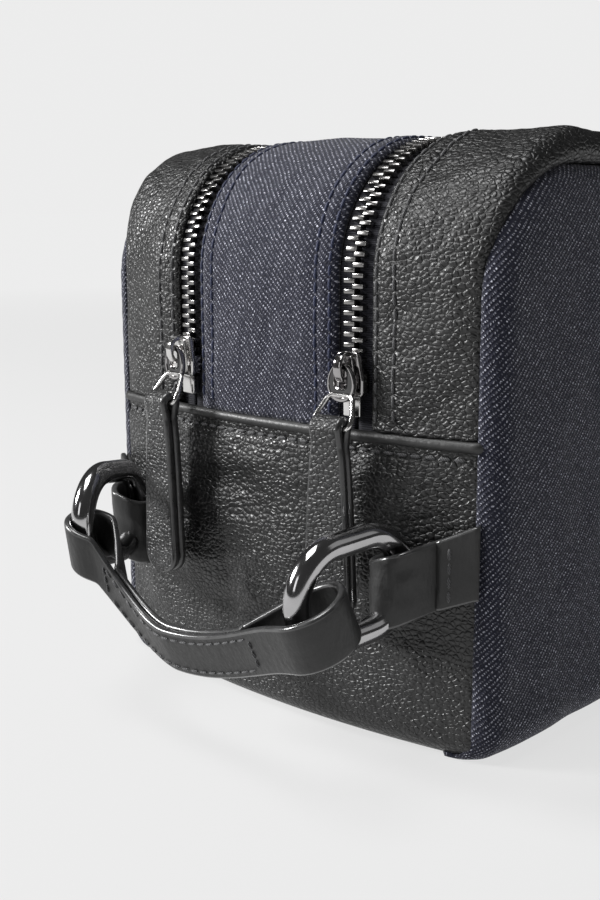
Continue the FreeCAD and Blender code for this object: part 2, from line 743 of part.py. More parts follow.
def ring_sweep(away, side):
    """The space that a ring's bend sweeps as it turns in a loop."""
    centre = ring_axis(away) + Vector(side * dim("ring_side"), 0, 0)
    return Part.makeTorus(dim("ring_radius"), dim("ring_thick") / 2 + dim("ring_play"), centre,
                          Vector(1, 0, 0))


def ring_tab(side):
    """A strap sewn into the side seam and folded round the ring."""
    across = side * dim("ring_side")
    centre = Vector(across, dim("tab_centre"), 0)
    inner = dim("tab_inner")
    outer = inner + dim("tab_layer")
    end = Vector(side * (dim("side_seam") + 0.2), dim("tab_end_out"), 0)
    low = dim("tab_high") - dim("tab_height") / 2
    high = low + dim("tab_height")
    strap = standing(teardrop(centre, outer, end), low, high)
    wedge = end + (centre - end).normalize() * 3.4
    strap = strap.fuse(standing(Part.Face(Part.makePolygon([
        end + Vector(0, 1.4, 0), end + Vector(0, -1.4, 0), wedge + Vector(0, -2.4, 0),
        wedge + Vector(0, 1.2, 0), end + Vector(0, 1.4, 0)])), low, high))
    hole = standing(teardrop(centre, inner, wedge), low - 1, high + 1)
    tab = doc.addObject("Part::Feature", f"RingTab{name_of(side)}")
    tab.Shape = largest(strap.cut(hole).cut(ring_sweep(0.0, side)).removeSplitter())
    tab.Placement = Placement()
    keep(tab, f"ring_tab_{name_of(side)}")


def largest(shape):
    """The largest solid of a shape."""
    return max(shape.Solids, key=lambda solid: solid.Volume)


def strap_band(half_width):
    """The handle's front view: a band that sags between the rings."""
    reach = dim("strap_reach")
    edges = []
    for lift in (half_width, -half_width):
        stops = [reach * step / 4 for step in range(-4, 5)]
        edges.append([Vector(x, 0, lift - dim("strap_sag") * (1 + math.cos(math.pi * x / reach)) / 2)
                      for x in stops])
    wires = []
    for points in edges:
        curve = Part.BSplineCurve()
        curve.interpolate(points)
        wires.append(curve.toShape())
    ends = [Part.makeLine(edges[0][0], edges[1][0]), Part.makeLine(edges[0][-1], edges[1][-1])]
    return Part.Face(Part.Wire(Part.__sortEdges__(wires + ends)))


def slab(half_length, near, far):
    """A flat layer of the handle seen from above, between two distances out."""
    return Part.Face(Part.makePolygon([
        Vector(-half_length, -near, 0), Vector(half_length, -near, 0),
        Vector(half_length, -far, 0), Vector(-half_length, -far, 0), Vector(-half_length, -near, 0)]))


def hang(obj, shape, label):
    """Hang a piece of the handle from the rings' outer bends."""
    obj.Shape = largest(shape)
    obj.Placement = Placement(ring_axis(dim("ring_straight")),
                              Rotation(Vector(1, 0, 0), dim("strap_hang")))
    keep(obj, label)


def handle():
    """The outer strap, folded round both rings, and the backing sewn inside it.

    Both are made pointing straight out from the rings' outer bend centres."""
    tall = dim("strap_width") + dim("strap_sag")
    inner = dim("roll_inner")
    layer = dim("strap_layer")
    outer = inner + layer
    face = dim("roll_out") + outer
    body = standing(slab(dim("ring_side"), face, face - layer), -tall, tall)
    centres = [Vector(side * dim("roll_side"), -dim("roll_out"), 0) for side in (1, -1)]
    for side, centre in zip((1, -1), centres):
        tail = Vector(side * dim("strap_tail"), -face + layer * 0.65, 0)
        body = body.fuse(standing(teardrop(centre, outer, tail), -tall, tall))
    for side, centre in zip((1, -1), centres):
        notch = Vector(side * (dim("strap_tail") + 3.2), -face + layer * 1.3, 0)
        body = body.cut(standing(teardrop(centre, inner, notch), -tall - 1, tall + 1))
    band = strap_band(dim("strap_width") / 2)
    band.translate(Vector(0, -2 * face, 0))
    strip = band.extrude(Vector(0, 2 * face, 0))
    shape = body.common(strip)
    for side in (1, -1):
        bend = Part.makeTorus(dim("ring_radius"), dim("ring_thick") / 2 + dim("ring_play"),
                              Vector(side * dim("ring_side"), 0, 0), Vector(1, 0, 0))
        shape = shape.cut(bend)
    hang(doc.addObject("Part::Feature", "HandleStrap"), shape, "handle_strap")
    inside = standing(slab(dim("backing_half"), face - layer - 0.05, face - 2 * layer), -tall, tall)
    hang(doc.addObject("Part::Feature", "HandleBacking"), inside.common(strip), "handle_backing")


# ---------------------------------------------------------------- the whole bag

panels(layer_shell("Panels", "0", "panel_depth"))
tapes(layer_shell("Tapes", "tape_top", "tape_depth"))
padding(layer_shell("Padding", "padding_top", "padding_depth"))
lining(layer_shell("Lining", "lining_top", "lining_depth"))
base_board()
for side in (1, -1):
    tooth_row(side, True)
    tooth_row(side, False)
    end_stops(side)
    slider(side)
    slider_inner_plate(side)
    pull_link(side)
    pull_wire(side)
    leather_pull(side)
    ring(side)
    ring_tab(side)
handle()
doc.recompute()

for obj in doc.Objects:
    if "Invalid" in obj.State or "Error" in obj.State:
        raise RuntimeError(f"{obj.Label} failed: {obj.State}")
for obj in PARTS:
    if obj.Shape.isNull() or not obj.Shape.isValid() or not obj.Shape.Solids:
        raise RuntimeError(f"{obj.Label} has no valid solid")

os.makedirs("parts", exist_ok=True)
for obj in PARTS:
    obj.Shape.exportStep(f"parts/{obj.Label}.step")
    size = obj.Shape.BoundBox
    print(f"{obj.Label:28s} solids {len(obj.Shape.Solids):3d}  volume {obj.Shape.Volume:9.1f}  "
          f"x {size.XMin:7.1f} {size.XMax:7.1f}  y {size.YMin:7.1f} {size.YMax:7.1f}  "
          f"z {size.ZMin:7.1f} {size.ZMax:7.1f}")
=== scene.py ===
import json
import math

import bmesh
import bpy
import numpy as np
from mathutils import Matrix, Vector


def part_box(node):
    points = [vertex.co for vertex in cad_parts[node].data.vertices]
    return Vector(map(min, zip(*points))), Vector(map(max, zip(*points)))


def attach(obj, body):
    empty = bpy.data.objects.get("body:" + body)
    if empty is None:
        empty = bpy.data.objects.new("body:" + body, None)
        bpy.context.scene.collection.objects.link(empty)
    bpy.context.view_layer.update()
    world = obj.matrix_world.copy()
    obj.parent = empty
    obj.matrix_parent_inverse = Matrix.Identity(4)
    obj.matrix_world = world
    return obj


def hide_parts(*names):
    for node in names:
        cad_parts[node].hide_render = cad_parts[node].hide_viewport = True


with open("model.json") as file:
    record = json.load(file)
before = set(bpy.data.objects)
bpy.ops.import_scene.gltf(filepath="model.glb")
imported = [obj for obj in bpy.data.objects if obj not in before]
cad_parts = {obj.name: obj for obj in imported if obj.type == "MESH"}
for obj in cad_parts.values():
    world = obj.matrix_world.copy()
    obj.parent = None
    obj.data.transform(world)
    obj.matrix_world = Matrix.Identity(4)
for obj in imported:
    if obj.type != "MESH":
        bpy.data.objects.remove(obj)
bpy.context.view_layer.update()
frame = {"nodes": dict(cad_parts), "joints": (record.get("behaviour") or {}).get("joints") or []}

# A boxy shaving kit bag in denim and pebbled leather. Shapes are in millimetres in the shared frame
# and become metres where a mesh is made. Materials, lights and the camera are in metres.

MM = 0.001
SIDES = ((1, "right"), (-1, "left"))
ENDS = ((1, "front"), (-1, "back"))


def node_box(node):
    lo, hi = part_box(node)
    return np.array(lo) / MM, np.array(hi) / MM


def joint_at(name):
    joint = next(j for j in frame["joints"] if j["name"] == name)
    return np.array(joint["pos_m"], float) / MM


# ---------------- sizes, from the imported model
HALF = node_box("side_panel_right")[1][0]
TALL = node_box("top_centre_strip")[1][2]
FRONT = -node_box("end_panel_front")[0][1]
SEAM = (node_box("end_panel_front")[1][2] + node_box("top_centre_strip")[0][2]) / 2
SIDE_SEAM = 57.2               # from the middle of an end to its seam with the side
ZIP_X = (node_box("slider_right")[0][0] + node_box("slider_right")[1][0]) / 2 - 0.1
END_R, TOP_R, BASE_R = 259.6, 31.0, 5.2     # the bowed ends, and the turns above and below them
OPENING = 8.8                  # between the two panels beside a zip
CLEAR = 0.1                    # a panel stops this short of its seam
BASE_SEAM, END_SEAM = 47.0, 114.0           # the base panel's reach across and along
SHOULDER = 5.0                 # the sides turn into the top
WRAP = 7.0                     # the leather strips come this far down the sides at the top

# Places along q, which form() explains: where the top's turn starts and ends, the far mid seam,
# and where the turn under the base starts and ends.
Q_TURN = TALL - TOP_R - SEAM
Q_TOP = Q_TURN + TOP_R * math.pi / 2
Q_END = 2 * Q_TOP + 2 * (FRONT - TOP_R)
Q_FOOT = -(SEAM - BASE_R)
Q_BASE = Q_FOOT - BASE_R * math.pi / 2


# ---------------- the bag's form
def face_y(x):
    return np.sqrt(END_R ** 2 - np.asarray(x, float) ** 2) - (END_R - FRONT)


def form(x, q, lift=0.0):
    """Points and outward normals of the bag's form: x across, q along from the front mid seam,
    up over the top and down to the back mid seam; below the seams it runs on under the base."""
    w, q, lift = np.broadcast_arrays(*(np.asarray(v, float) for v in (x, q, lift)))
    past = np.maximum(np.abs(w) - (HALF - SHOULDER), 0)
    tilt = np.minimum(past / SHOULDER, math.pi / 2)
    fall = SHOULDER * (1 - np.cos(tilt)) + np.maximum(past - SHOULDER * math.pi / 2, 0)
    x = np.sign(w) * (np.minimum(np.abs(w), HALF - SHOULDER) + SHOULDER * np.sin(tilt))
    back = q > Q_END / 2
    s = np.where(back, Q_END - q, q)
    face = face_y(x)
    lean = np.arcsin(x / END_R)
    up = np.clip((s - Q_TURN) / TOP_R, 0, math.pi / 2)
    down = np.clip((Q_FOOT - s) / BASE_R, 0, math.pi / 2)
    top = np.clip((s - Q_TOP) / (Q_END / 2 - Q_TOP), 0, 1)
    base = np.clip((Q_BASE - s) / (FRONT - BASE_R), 0, 1)
    y = face.copy()
    y = np.where(s > Q_TURN, face - TOP_R + TOP_R * np.cos(up), y)
    y = np.where(s > Q_TOP, (face - TOP_R) * (1 - top), y)
    y = np.where(s < Q_FOOT, face - BASE_R + BASE_R * np.cos(down), y)
    y = np.where(s < Q_BASE, (face - BASE_R) * (1 - base), y)
    z = SEAM + s
    z = np.where(s > Q_TURN, TALL - TOP_R + TOP_R * np.sin(up), z)
    z = np.where(s < Q_FOOT, BASE_R - BASE_R * np.sin(down), z)
    turn = up - down
    out, rise = np.cos(turn), np.sin(turn)
    mirror = np.where(back, 1.0, -1.0)
    normal = np.stack([np.sin(lean) * out, mirror * np.cos(lean) * out, rise], -1)
    points = np.stack([x, mirror * y, z], -1) - normal * fall[..., None]
    normal = normal * np.cos(tilt)[..., None]
    normal[..., 0] += np.sign(w) * np.sin(tilt)
    return points + normal * lift[..., None], normal


def strip_edge(q):
    """How far across the leather strips reach: to the side seam, and over the shoulder on top."""
    s = np.minimum(q, Q_END - q)
    fall = WRAP * np.sin(np.clip((s - Q_TURN) / TOP_R, 0, math.pi / 2)) ** 2
    fall = np.maximum(fall, SHOULDER * (1 - math.cos((SIDE_SEAM - HALF + SHOULDER) / SHOULDER)))
    arc = SHOULDER * np.arccos(1 - np.minimum(fall, SHOULDER) / SHOULDER)
    return HALF - SHOULDER + arc + np.maximum(fall - SHOULDER, 0) - CLEAR


def at_end(q, sign):
    """The same place on the front end, or on the back end."""
    return q if sign > 0 else Q_END - q


def stations(low, high, step, fine=3.0):
    """Even stations, closer together near both ends."""
    fine = min(fine, (high - low) / 4)
    bend = fine * (1 - np.cos(np.linspace(0, math.pi / 2, 7)))
    count = max(2, int(round((high - low - 2 * fine) / step)))
    middle = np.linspace(low + fine, high - fine, count + 1)
    return np.concatenate([low + bend[:-1], middle, high - bend[:-1][::-1]])


def roll(distance, depth, width):
    """How far a folded edge turns down, that distance in from the edge."""
    near = 1 - np.clip(distance / width, 0, 1)
    return -depth * (1 - np.sqrt(np.maximum(1 - near ** 2, 0)))


def ridge(distance, height, width):
    """A soft ridge where the distance is 0, or a ditch with a negative height."""
    return height * np.exp(-(distance / width) ** 2)


def waves(u, v, size, seed):
    """Smooth unevenness between about -1 and 1, the same on each run."""
    draw = np.random.default_rng(seed)
    total = np.zeros(np.broadcast(u, v).shape)
    weight = 1.0
    for _ in range(3):
        for _ in range(4):
            angle, phase = draw.uniform(0, math.pi), draw.uniform(0, 2 * math.pi)
            spread = draw.uniform(0.75, 1.35)
            total = total + weight * 0.4 * np.sin(
                2 * math.pi * spread / size * (u * math.cos(angle) + v * math.sin(angle)) + phase)
        size, weight = size / 2.1, weight * 0.5
    return total


def pebbles(u, v, size, seed):
    """Height of pebbled grain, 0 in the creases to 1 on the cells."""
    u, v = u / size, v / size
    cu, cv = np.floor(u), np.floor(v)
    first = np.full(u.shape, 9.0)
    second = np.full(u.shape, 9.0)
    for du in (-1, 0, 1):
        for dv in (-1, 0, 1):
            iu, iv = cu + du, cv + dv
            mix = np.sin(iu * 127.1 + iv * 311.7 + seed) * 43758.5453
            nix = np.sin(iu * 269.5 + iv * 183.3 + seed) * 24634.6345
            gap = np.hypot(iu + 0.12 + 0.76 * (mix - np.floor(mix)) - u,
                           iv + 0.12 + 0.76 * (nix - np.floor(nix)) - v)
            second = np.minimum(second, np.maximum(first, gap))
            first = np.minimum(first, gap)
    return np.clip((second - first) / 0.75, 0, 1) ** 0.6


# ---------------- making objects
def add_object(name, data):
    obj = bpy.data.objects.new(name, data)
    bpy.context.scene.collection.objects.link(obj)
    return obj


def repaint(node, material):
    """Give a CAD node that stays visible its look."""
    slots = frame["nodes"][node].data.materials
    slots.clear()
    slots.append(material)


def make(name, verts, faces, materials, body, replaces=(), uv=None, face_slots=None,
         sharp=None, solid=0.0):
    """A named piece from points in mm, riding on a body."""
    mesh = bpy.data.meshes.new(name)
    mesh.from_pydata((np.asarray(verts, float) * MM).tolist(), [], [list(f) for f in faces])
    for material in materials:
        mesh.materials.append(material)
    if face_slots is not None:
        mesh.polygons.foreach_set("material_index", np.asarray(face_slots, np.int32))
    mesh.polygons.foreach_set("use_smooth", np.ones(len(mesh.polygons), bool))
    if uv is not None:
        layer = mesh.uv_layers.new(name="weave")
        corners = np.empty(len(mesh.loops), np.int32)
        mesh.loops.foreach_get("vertex_index", corners)
        layer.data.foreach_set("uv", (np.asarray(uv, float)[corners] / 100).ravel())
    if sharp is not None:
        mesh.set_sharp_from_angle(angle=math.radians(sharp))
    mesh.validate()
    obj = add_object(name, mesh)
    if solid:
        modifier = obj.modifiers.new("Thickness", "SOLIDIFY")
        modifier.thickness = solid * MM
        modifier.offset = -1
    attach(obj, body)
    if replaces:
        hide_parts(*replaces)
    return obj


def grid_faces(rows, cols, flip=False, closed=False):
    r, c = np.meshgrid(np.arange(rows - 1), np.arange(cols if closed else cols - 1), indexing="ij")
    r, c = r.ravel(), c.ravel()
    n = (c + 1) % cols
    quads = np.stack([r * cols + c, r * cols + n, (r + 1) * cols + n, (r + 1) * cols + c], -1)
    return quads[:, ::-1] if flip else quads


def looped_faces(rows, cols):
    """The faces of a grid that closes on itself both ways."""
    last = (rows - 1) * cols
    return [tuple(f) for f in grid_faces(rows, cols, closed=True)] + [
        (last + k, last + (k + 1) % cols, (k + 1) % cols, k) for k in range(cols)]


def sheet(name, x, q, lift, materials, replaces=(), solid=1.2):
    """A panel on the bag's form, from stations across and along and a lift at each point."""
    grid_x, grid_q = np.meshgrid(x, q) if np.ndim(x) == 1 else (x, q)
    points, normals = form(grid_x, grid_q, lift)
    rows, cols = grid_x.shape
    r, c = rows // 2, cols // 2
    turn = np.cross(points[r, c + 1] - points[r, c], points[r + 1, c] - points[r, c])
    flip = np.dot(turn, normals[r, c]) < 0
    uv = np.stack([grid_x, grid_q], -1).reshape(-1, 2)
    return make(name, points.reshape(-1, 3), grid_faces(rows, cols, flip), materials, "bag",
                replaces, uv, solid=solid)


def distances(points):
    """How far along a line each of its points is."""
    return np.concatenate([[0], np.cumsum(np.linalg.norm(np.diff(points, axis=0), axis=1))])


def resample(points, pitch):
    """Points, tangents and shares along a line, one pitch apart and centred on it."""
    points = np.asarray(points, float)
    lengths = distances(points)
    count = int(lengths[-1] // pitch)
    places = (lengths[-1] - (count - 1) * pitch) / 2 + pitch * np.arange(count)

    def at(where):
        return np.stack([np.interp(where, lengths, points[:, k]) for k in range(3)], -1)
    return at(places), at(places + 0.3) - at(places - 0.3), places / lengths[-1]


def unit(v):
    return v / np.linalg.norm(v, axis=-1, keepdims=True)


def instances(template, origins, axes):
    """Copies of a template (points, faces) with their own axes, as one set of points and faces."""
    base, faces = template
    verts = np.concatenate([o + base @ np.stack(a) for o, a in zip(origins, axes)])
    step = len(base)
    all_faces = [tuple(i + k * step for i in f) for k in range(len(origins)) for f in faces]
    return verts, all_faces


STITCH_HIGH = 0.9


def capsule(length, width, height):
    """A plump stitch along X, its top along Z."""
    around = 8
    t = np.array([-0.97, -0.8, -0.45, 0, 0.45, 0.8, 0.97])
    size = (1 - np.abs(t) ** 3.2) ** 0.5
    angle = np.arange(around) * 2 * math.pi / around
    rings = np.stack([np.repeat(t * length / 2, around),
                      np.outer(size, np.cos(angle)).ravel() * width / 2,
                      np.outer(size, np.sin(angle)).ravel() * height / 2], -1)
    faces = [tuple(f) for f in grid_faces(len(t), around, closed=True)]
    faces += [tuple(range(around))[::-1], tuple(range(len(rings) - around, len(rings)))]
    return rings, [f[::-1] for f in faces]


def stitches(name, line, normals, material, body="bag", pitch=3.1, length=2.5, width=0.8):
    """A row of stitches along a line on a surface."""
    places, tangents, shares = resample(line, pitch)
    run = distances(line)
    up = unit(np.stack([np.interp(shares, run / run[-1], normals[:, k]) for k in range(3)], -1))
    along = unit(tangents)
    verts, faces = instances(capsule(length, width, STITCH_HIGH), places,
                             list(zip(along, np.cross(up, along), up)))
    return make(name, verts, faces, [material], body)


def surface_row(name, x, q, material, lift=0.0, **options):
    points, normals = form(x, q, lift)
    return stitches(name, points, normals, material, **options)


def ribbon(path, normal, across, low, high, thick, corner=0.42, inner=3):
    """A strip of thickness along a path: points, faces and which faces are its edges."""
    count = len(path)
    low, high, thick = (np.broadcast_to(np.asarray(v, float), count) for v in (low, high, thick))
    round_ = np.minimum(thick * corner, (high - low) * 0.2)
    theta = np.linspace(-math.pi / 2, math.pi / 2, 6)
    share = np.linspace(0, 1, inner + 2)[1:-1]
    section, edge = [], []
    for sign, rim in ((1, high), (-1, low)):
        for t in theta[::sign]:
            section.append((rim - sign * round_ * (1 - math.cos(t)),
                            np.sign(t) * (thick / 2 - round_) + round_ * math.sin(t)))
            edge.append(1)
        edge[-1] = 0
        for s in share:
            section.append((rim - sign * (round_ + s * (high - low - 2 * round_)),
                            sign * thick / 2))
            edge.append(0)
    ring = len(section)
    verts = np.stack([path + across * a[:, None] + normal * b[:, None] for a, b in section], 1)
    faces = grid_faces(count, ring, closed=True)
    centre = verts[count // 2].mean(0)
    r = count // 2
    a, b, c = verts[r, 0], verts[r, 1], verts[r + 1, 0]
    flip = np.dot(np.cross(b - a, c - a), a - centre) < 0
    slots = [edge[i % ring] for i in range((count - 1) * ring)]
    faces = [tuple(f[::-1] if flip else f) for f in faces]
    first, last = tuple(range(ring)), tuple(range((count - 1) * ring, count * ring))
    faces += [first[::-1] if not flip else first, last if not flip else last[::-1]]
    return verts.reshape(-1, 3), faces, slots + [1, 1]


def block(width, length, height, bevel, segments=2):
    """A block with rounded edges, centred, as a template."""
    bm = bmesh.new()
    bmesh.ops.create_cube(bm, size=1)
    bmesh.ops.scale(bm, vec=(width, length, height), verts=bm.verts)
    bmesh.ops.bevel(bm, geom=bm.edges[:], offset=bevel, segments=segments, affect="EDGES",
                    profile=0.5)
    return take(bm)


def take(bm):
    bm.verts.index_update()
    points = np.array([v.co[:] for v in bm.verts])
    faces = [tuple(v.index for v in f.verts) for f in bm.faces]
    bm.free()
    return points, faces


def plate(outline, near, far, bevel):
    """A flat plate with rounded edges from an outline in X and Y, as a template."""
    bm = bmesh.new()
    bottom = bm.faces.new([bm.verts.new((x, y, near)) for x, y in outline])
    raised = bmesh.ops.extrude_face_region(bm, geom=[bottom])
    bmesh.ops.translate(bm, vec=(0, 0, far - near),
                        verts=[v for v in raised["geom"] if isinstance(v, bmesh.types.BMVert)])
    bmesh.ops.recalc_face_normals(bm, faces=bm.faces[:])
    rims = [e for e in bm.edges if abs(e.verts[0].co.z - e.verts[1].co.z) < 1e-6]
    bmesh.ops.bevel(bm, geom=rims, offset=bevel, segments=3, affect="EDGES", profile=0.5)
    return take(bm)


def tube(path, radius, around):
    """A round bar along a closed path, as points and faces."""
    tangent = unit(np.roll(path, -1, 0) - np.roll(path, 1, 0))
    side = unit(np.cross(tangent[0], np.array([0.31, 0.44, 0.84])))
    sides = []
    for t in tangent:
        side = unit(side - t * np.dot(side, t))
        sides.append(side)
    sides = np.array(sides)
    ups = np.cross(tangent, sides)
    angle = np.arange(around) * 2 * math.pi / around
    verts = (path[:, None] + radius * (sides[:, None] * np.cos(angle)[None, :, None]
                                       + ups[:, None] * np.sin(angle)[None, :, None]))
    return verts.reshape(-1, 3), looped_faces(len(path), around)


def merge(*parts):
    """Several (points, faces) as one."""
    verts, faces, start = [], [], 0
    for points, quads in parts:
        verts.append(np.asarray(points, float))
        faces += [tuple(i + start for i in f) for f in quads]
        start += len(points)
    return np.concatenate(verts), faces


# ---------------- materials
class Paint:
    """A node material: constants go straight on the shader, patterns come through add()."""

    def __init__(self, name, **constants):
        self.material = bpy.data.materials.new(name)
        self.material.use_nodes = True
        self.tree = self.material.node_tree
        self.shader = self.tree.nodes["Principled BSDF"]
        for label, value in constants.items():
            self.shader.inputs[label.replace("_", " ")].default_value = value

    def add(self, kind, inputs=(), **settings):
        node = self.tree.nodes.new(kind)
        for key, value in settings.items():
            setattr(node, key, value)
        for key, value in dict(inputs).items():
            if isinstance(value, bpy.types.NodeSocket):
                self.tree.links.new(value, node.inputs[key])
            else:
                node.inputs[key].default_value = value
        return node

    def math(self, operation, a, b=0.0, c=0.0):
        node = self.add("ShaderNodeMath", {0: a, 1: b, 2: c}, operation=operation)
        return node.outputs[0]

    def place(self):
        return self.add("ShaderNodeTexCoord").outputs["Object"]

    def noise(self, vector, scale, detail=3.0, roughness=0.5):
        return self.add("ShaderNodeTexNoise", {"Vector": vector, "Scale": scale, "Detail": detail,
                                               "Roughness": roughness}).outputs["Fac"]

    def ramp(self, value, low, high, bottom=0.0, top=1.0):
        node = self.add("ShaderNodeMapRange", {"Value": value, "From Min": low, "From Max": high,
                                               "To Min": bottom, "To Max": top})
        return node.outputs["Result"]

    def mix(self, factor, first, second):
        node = self.add("ShaderNodeMix", {0: factor}, data_type="RGBA")
        node.inputs[6].default_value = (*first, 1)
        if isinstance(second, bpy.types.NodeSocket):
            self.tree.links.new(second, node.inputs[7])
        else:
            node.inputs[7].default_value = (*second, 1)
        return node.outputs[2]

    def wire(self, output, label):
        self.tree.links.new(output, self.shader.inputs[label])

    def weave(self):
        return self.add("ShaderNodeUVMap", uv_map="weave").outputs["UV"]

    def finish(self, colour, rough, normal):
        self.wire(colour, "Base Color")
        self.wire(rough, "Roughness")
        self.wire(normal, "Normal")
        return self.material

    def bump(self, height, strength, distance, after=None):
        inputs = {"Height": height, "Strength": strength, "Distance": distance}
        if after is not None:
            inputs["Normal"] = after
        return self.add("ShaderNodeBump", inputs).outputs["Normal"]


def pebbled_leather(name, scale=740.0, relief=1.0, tone=0.009):
    """Black leather: soft rounded cells, a little wider than tall, parted by thin creases darkened
    with painted shade.
    """
    p = Paint(name, Specular_IOR_Level=0.6)
    place = p.add("ShaderNodeMapping", {"Vector": p.place(), "Scale": (1.0, 1.0, 1.3)}).outputs[0]
    shift = p.add("ShaderNodeTexNoise", {"Vector": place, "Scale": 420.0, "Detail": 2.0})
    warped = p.add("ShaderNodeVectorMath", {0: shift.outputs["Color"], 1: (0.0009,) * 3, 2: place},
                   operation="MULTIPLY_ADD").outputs[0]
    edges = p.add("ShaderNodeTexVoronoi", {"Vector": warped, "Scale": scale},
                  feature="DISTANCE_TO_EDGE").outputs["Distance"]
    cells = p.add("ShaderNodeTexVoronoi", {"Vector": warped, "Scale": scale, "Smoothness": 0.35},
                  feature="SMOOTH_F1").outputs["Distance"]
    crease = p.add("ShaderNodeMapRange", {"Value": edges, "From Min": 0.0, "From Max": 0.22},
                   interpolation_type="SMOOTHSTEP").outputs["Result"]
    dome = p.math("MULTIPLY", cells, cells)
    pores = p.noise(place, 5200.0, 2.0)
    broad = p.noise(place, 55.0, 4.0)
    fold = p.noise(place, 230.0, 3.0, 0.5)
    height = p.math("MULTIPLY_ADD", dome, -0.8, p.math("MULTIPLY", crease, 0.32))
    height = p.math("MULTIPLY_ADD", fold, 0.45, height)
    rough = p.math("MULTIPLY_ADD", crease, -0.14, p.ramp(broad, 0.3, 0.7, 0.44, 0.54))
    # Painted shade: the creases are coloured near black, darker than the cells.
    colour = p.mix(crease, (0.001, 0.001, 0.001), (tone, tone, tone * 1.03))
    grain = p.bump(height, 1.0, 0.00036 * relief)
    return p.finish(colour, rough, p.bump(pores, 0.12, 0.00004, grain))


def smooth_leather(name, tone):
    p = Paint(name, Specular_IOR_Level=0.5)
    place = p.place()
    grain = p.noise(place, 1500.0, 4.0, 0.6)
    broad = p.noise(place, 90.0, 3.0)
    colour = p.mix(p.ramp(broad, 0.35, 0.65), (tone * 0.8,) * 3, (tone * 1.25,) * 3)
    wrinkle = p.noise(p.add("ShaderNodeMapping", {"Vector": place, "Scale": (1.0, 1.0, 0.35)}
                            ).outputs[0], 520.0, 3.0, 0.55)
    relief = p.bump(wrinkle, 0.6, 0.00035, p.bump(broad, 0.4, 0.0006))
    return p.finish(colour, p.ramp(grain, 0.3, 0.7, 0.38, 0.52),
                    p.bump(grain, 0.35, 0.00012, relief))


def painted_edge():
    p = Paint("painted edge", Specular_IOR_Level=0.6, Coat_Weight=0.6, Coat_Roughness=0.22)
    flow = p.noise(p.place(), 420.0, 2.0)
    colour = p.mix(p.ramp(flow, 0.3, 0.7), (0.022, 0.022, 0.022), (0.04, 0.04, 0.041))
    return p.finish(colour, p.ramp(flow, 0.3, 0.7, 0.26, 0.36), p.bump(flow, 0.3, 0.00015))


def denim(name, direction):
    """Indigo twill: pale flecks in rows along one diagonal of the cloth."""
    p = Paint(name, Specular_IOR_Level=0.25, Sheen_Weight=0.12, Sheen_Roughness=0.5)
    uv = p.weave()
    parts = p.add("ShaderNodeSeparateXYZ", {0: uv})
    wander = p.noise(uv, 14.0, 2.0)
    u = p.math("MULTIPLY", parts.outputs[0], 100.0)
    v = p.math("MULTIPLY", parts.outputs[1], 100.0)
    turned = p.math("MULTIPLY", v, float(direction))
    across = p.math("MULTIPLY_ADD", p.math("SUBTRACT", u, turned), 0.7071 / 0.98,
                    p.math("MULTIPLY", wander, 0.8))
    along = p.math("MULTIPLY", p.math("ADD", u, turned), 0.7071 / 0.62)
    row = p.math("FLOOR", across)
    jitter = p.noise(uv, 60.0, 2.0)
    stagger = p.math("MULTIPLY_ADD", row, 0.37, p.math("MULTIPLY_ADD", jitter, 3.0, along))
    rib = p.math("SINE", p.math("MULTIPLY", across, 2 * math.pi))
    knot = p.math("SINE", p.math("MULTIPLY", stagger, 2 * math.pi))
    broad = p.noise(uv, 9.0, 4.0)
    fine = p.noise(uv, 210.0, 3.0, 0.7)
    dot = p.math("MULTIPLY", p.ramp(rib, -0.1, 0.9), p.ramp(knot, -0.35, 0.8))
    patchy = p.noise(uv, 75.0, 3.0, 0.6)
    fleck = p.math("MULTIPLY", dot, p.ramp(fine, 0.42, 0.60))
    fleck = p.math("MULTIPLY", fleck, p.ramp(patchy, 0.38, 0.6, 0.12, 1.0))
    body = p.mix(p.ramp(fine, 0.35, 0.7), (0.004, 0.0045, 0.011), (0.016, 0.018, 0.036))
    tint = p.add("ShaderNodeMix", {0: p.math("MULTIPLY", fleck, 0.95)}, data_type="RGBA")
    p.tree.links.new(body, tint.inputs[6])
    tint.inputs[7].default_value = (0.86, 0.87, 1.0, 1)
    height = p.math("MULTIPLY_ADD", rib, 0.5, p.math("MULTIPLY", knot, 0.25))
    return p.finish(tint.outputs[2], p.ramp(broad, 0.3, 0.7, 0.78, 0.9),
                    p.bump(height, 0.6, 0.00022, p.bump(fine, 0.4, 0.0001)))


def tape_cloth():
    p = Paint("zip tape cloth", Specular_IOR_Level=0.25, Sheen_Weight=0.1)
    uv = p.weave()
    weave = p.add("ShaderNodeTexWave", {"Vector": uv, "Scale": 62.0, "Distortion": 0.6},
                  wave_type="BANDS", bands_direction="Y").outputs["Fac"]
    fine = p.noise(uv, 260.0, 2.0)
    return p.finish(p.mix(weave, (0.006, 0.006, 0.009), (0.022, 0.022, 0.03)),
                    p.ramp(fine, 0.3, 0.7, 0.7, 0.9), p.bump(weave, 0.6, 0.0002))


def metal(name, colour, rough, scratch=0.05):
    p = Paint(name, Metallic=1.0)
    place = p.place()
    cloud = p.noise(place, 240.0, 3.0)
    lines = p.noise(place, 2400.0, 2.0)
    shade = p.mix(p.ramp(cloud, 0.35, 0.65), tuple(c * 0.92 for c in colour), colour)
    return p.finish(shade, p.ramp(cloud, 0.3, 0.7, rough * 0.8, rough * 1.3),
                    p.bump(lines, scratch, 0.00002))


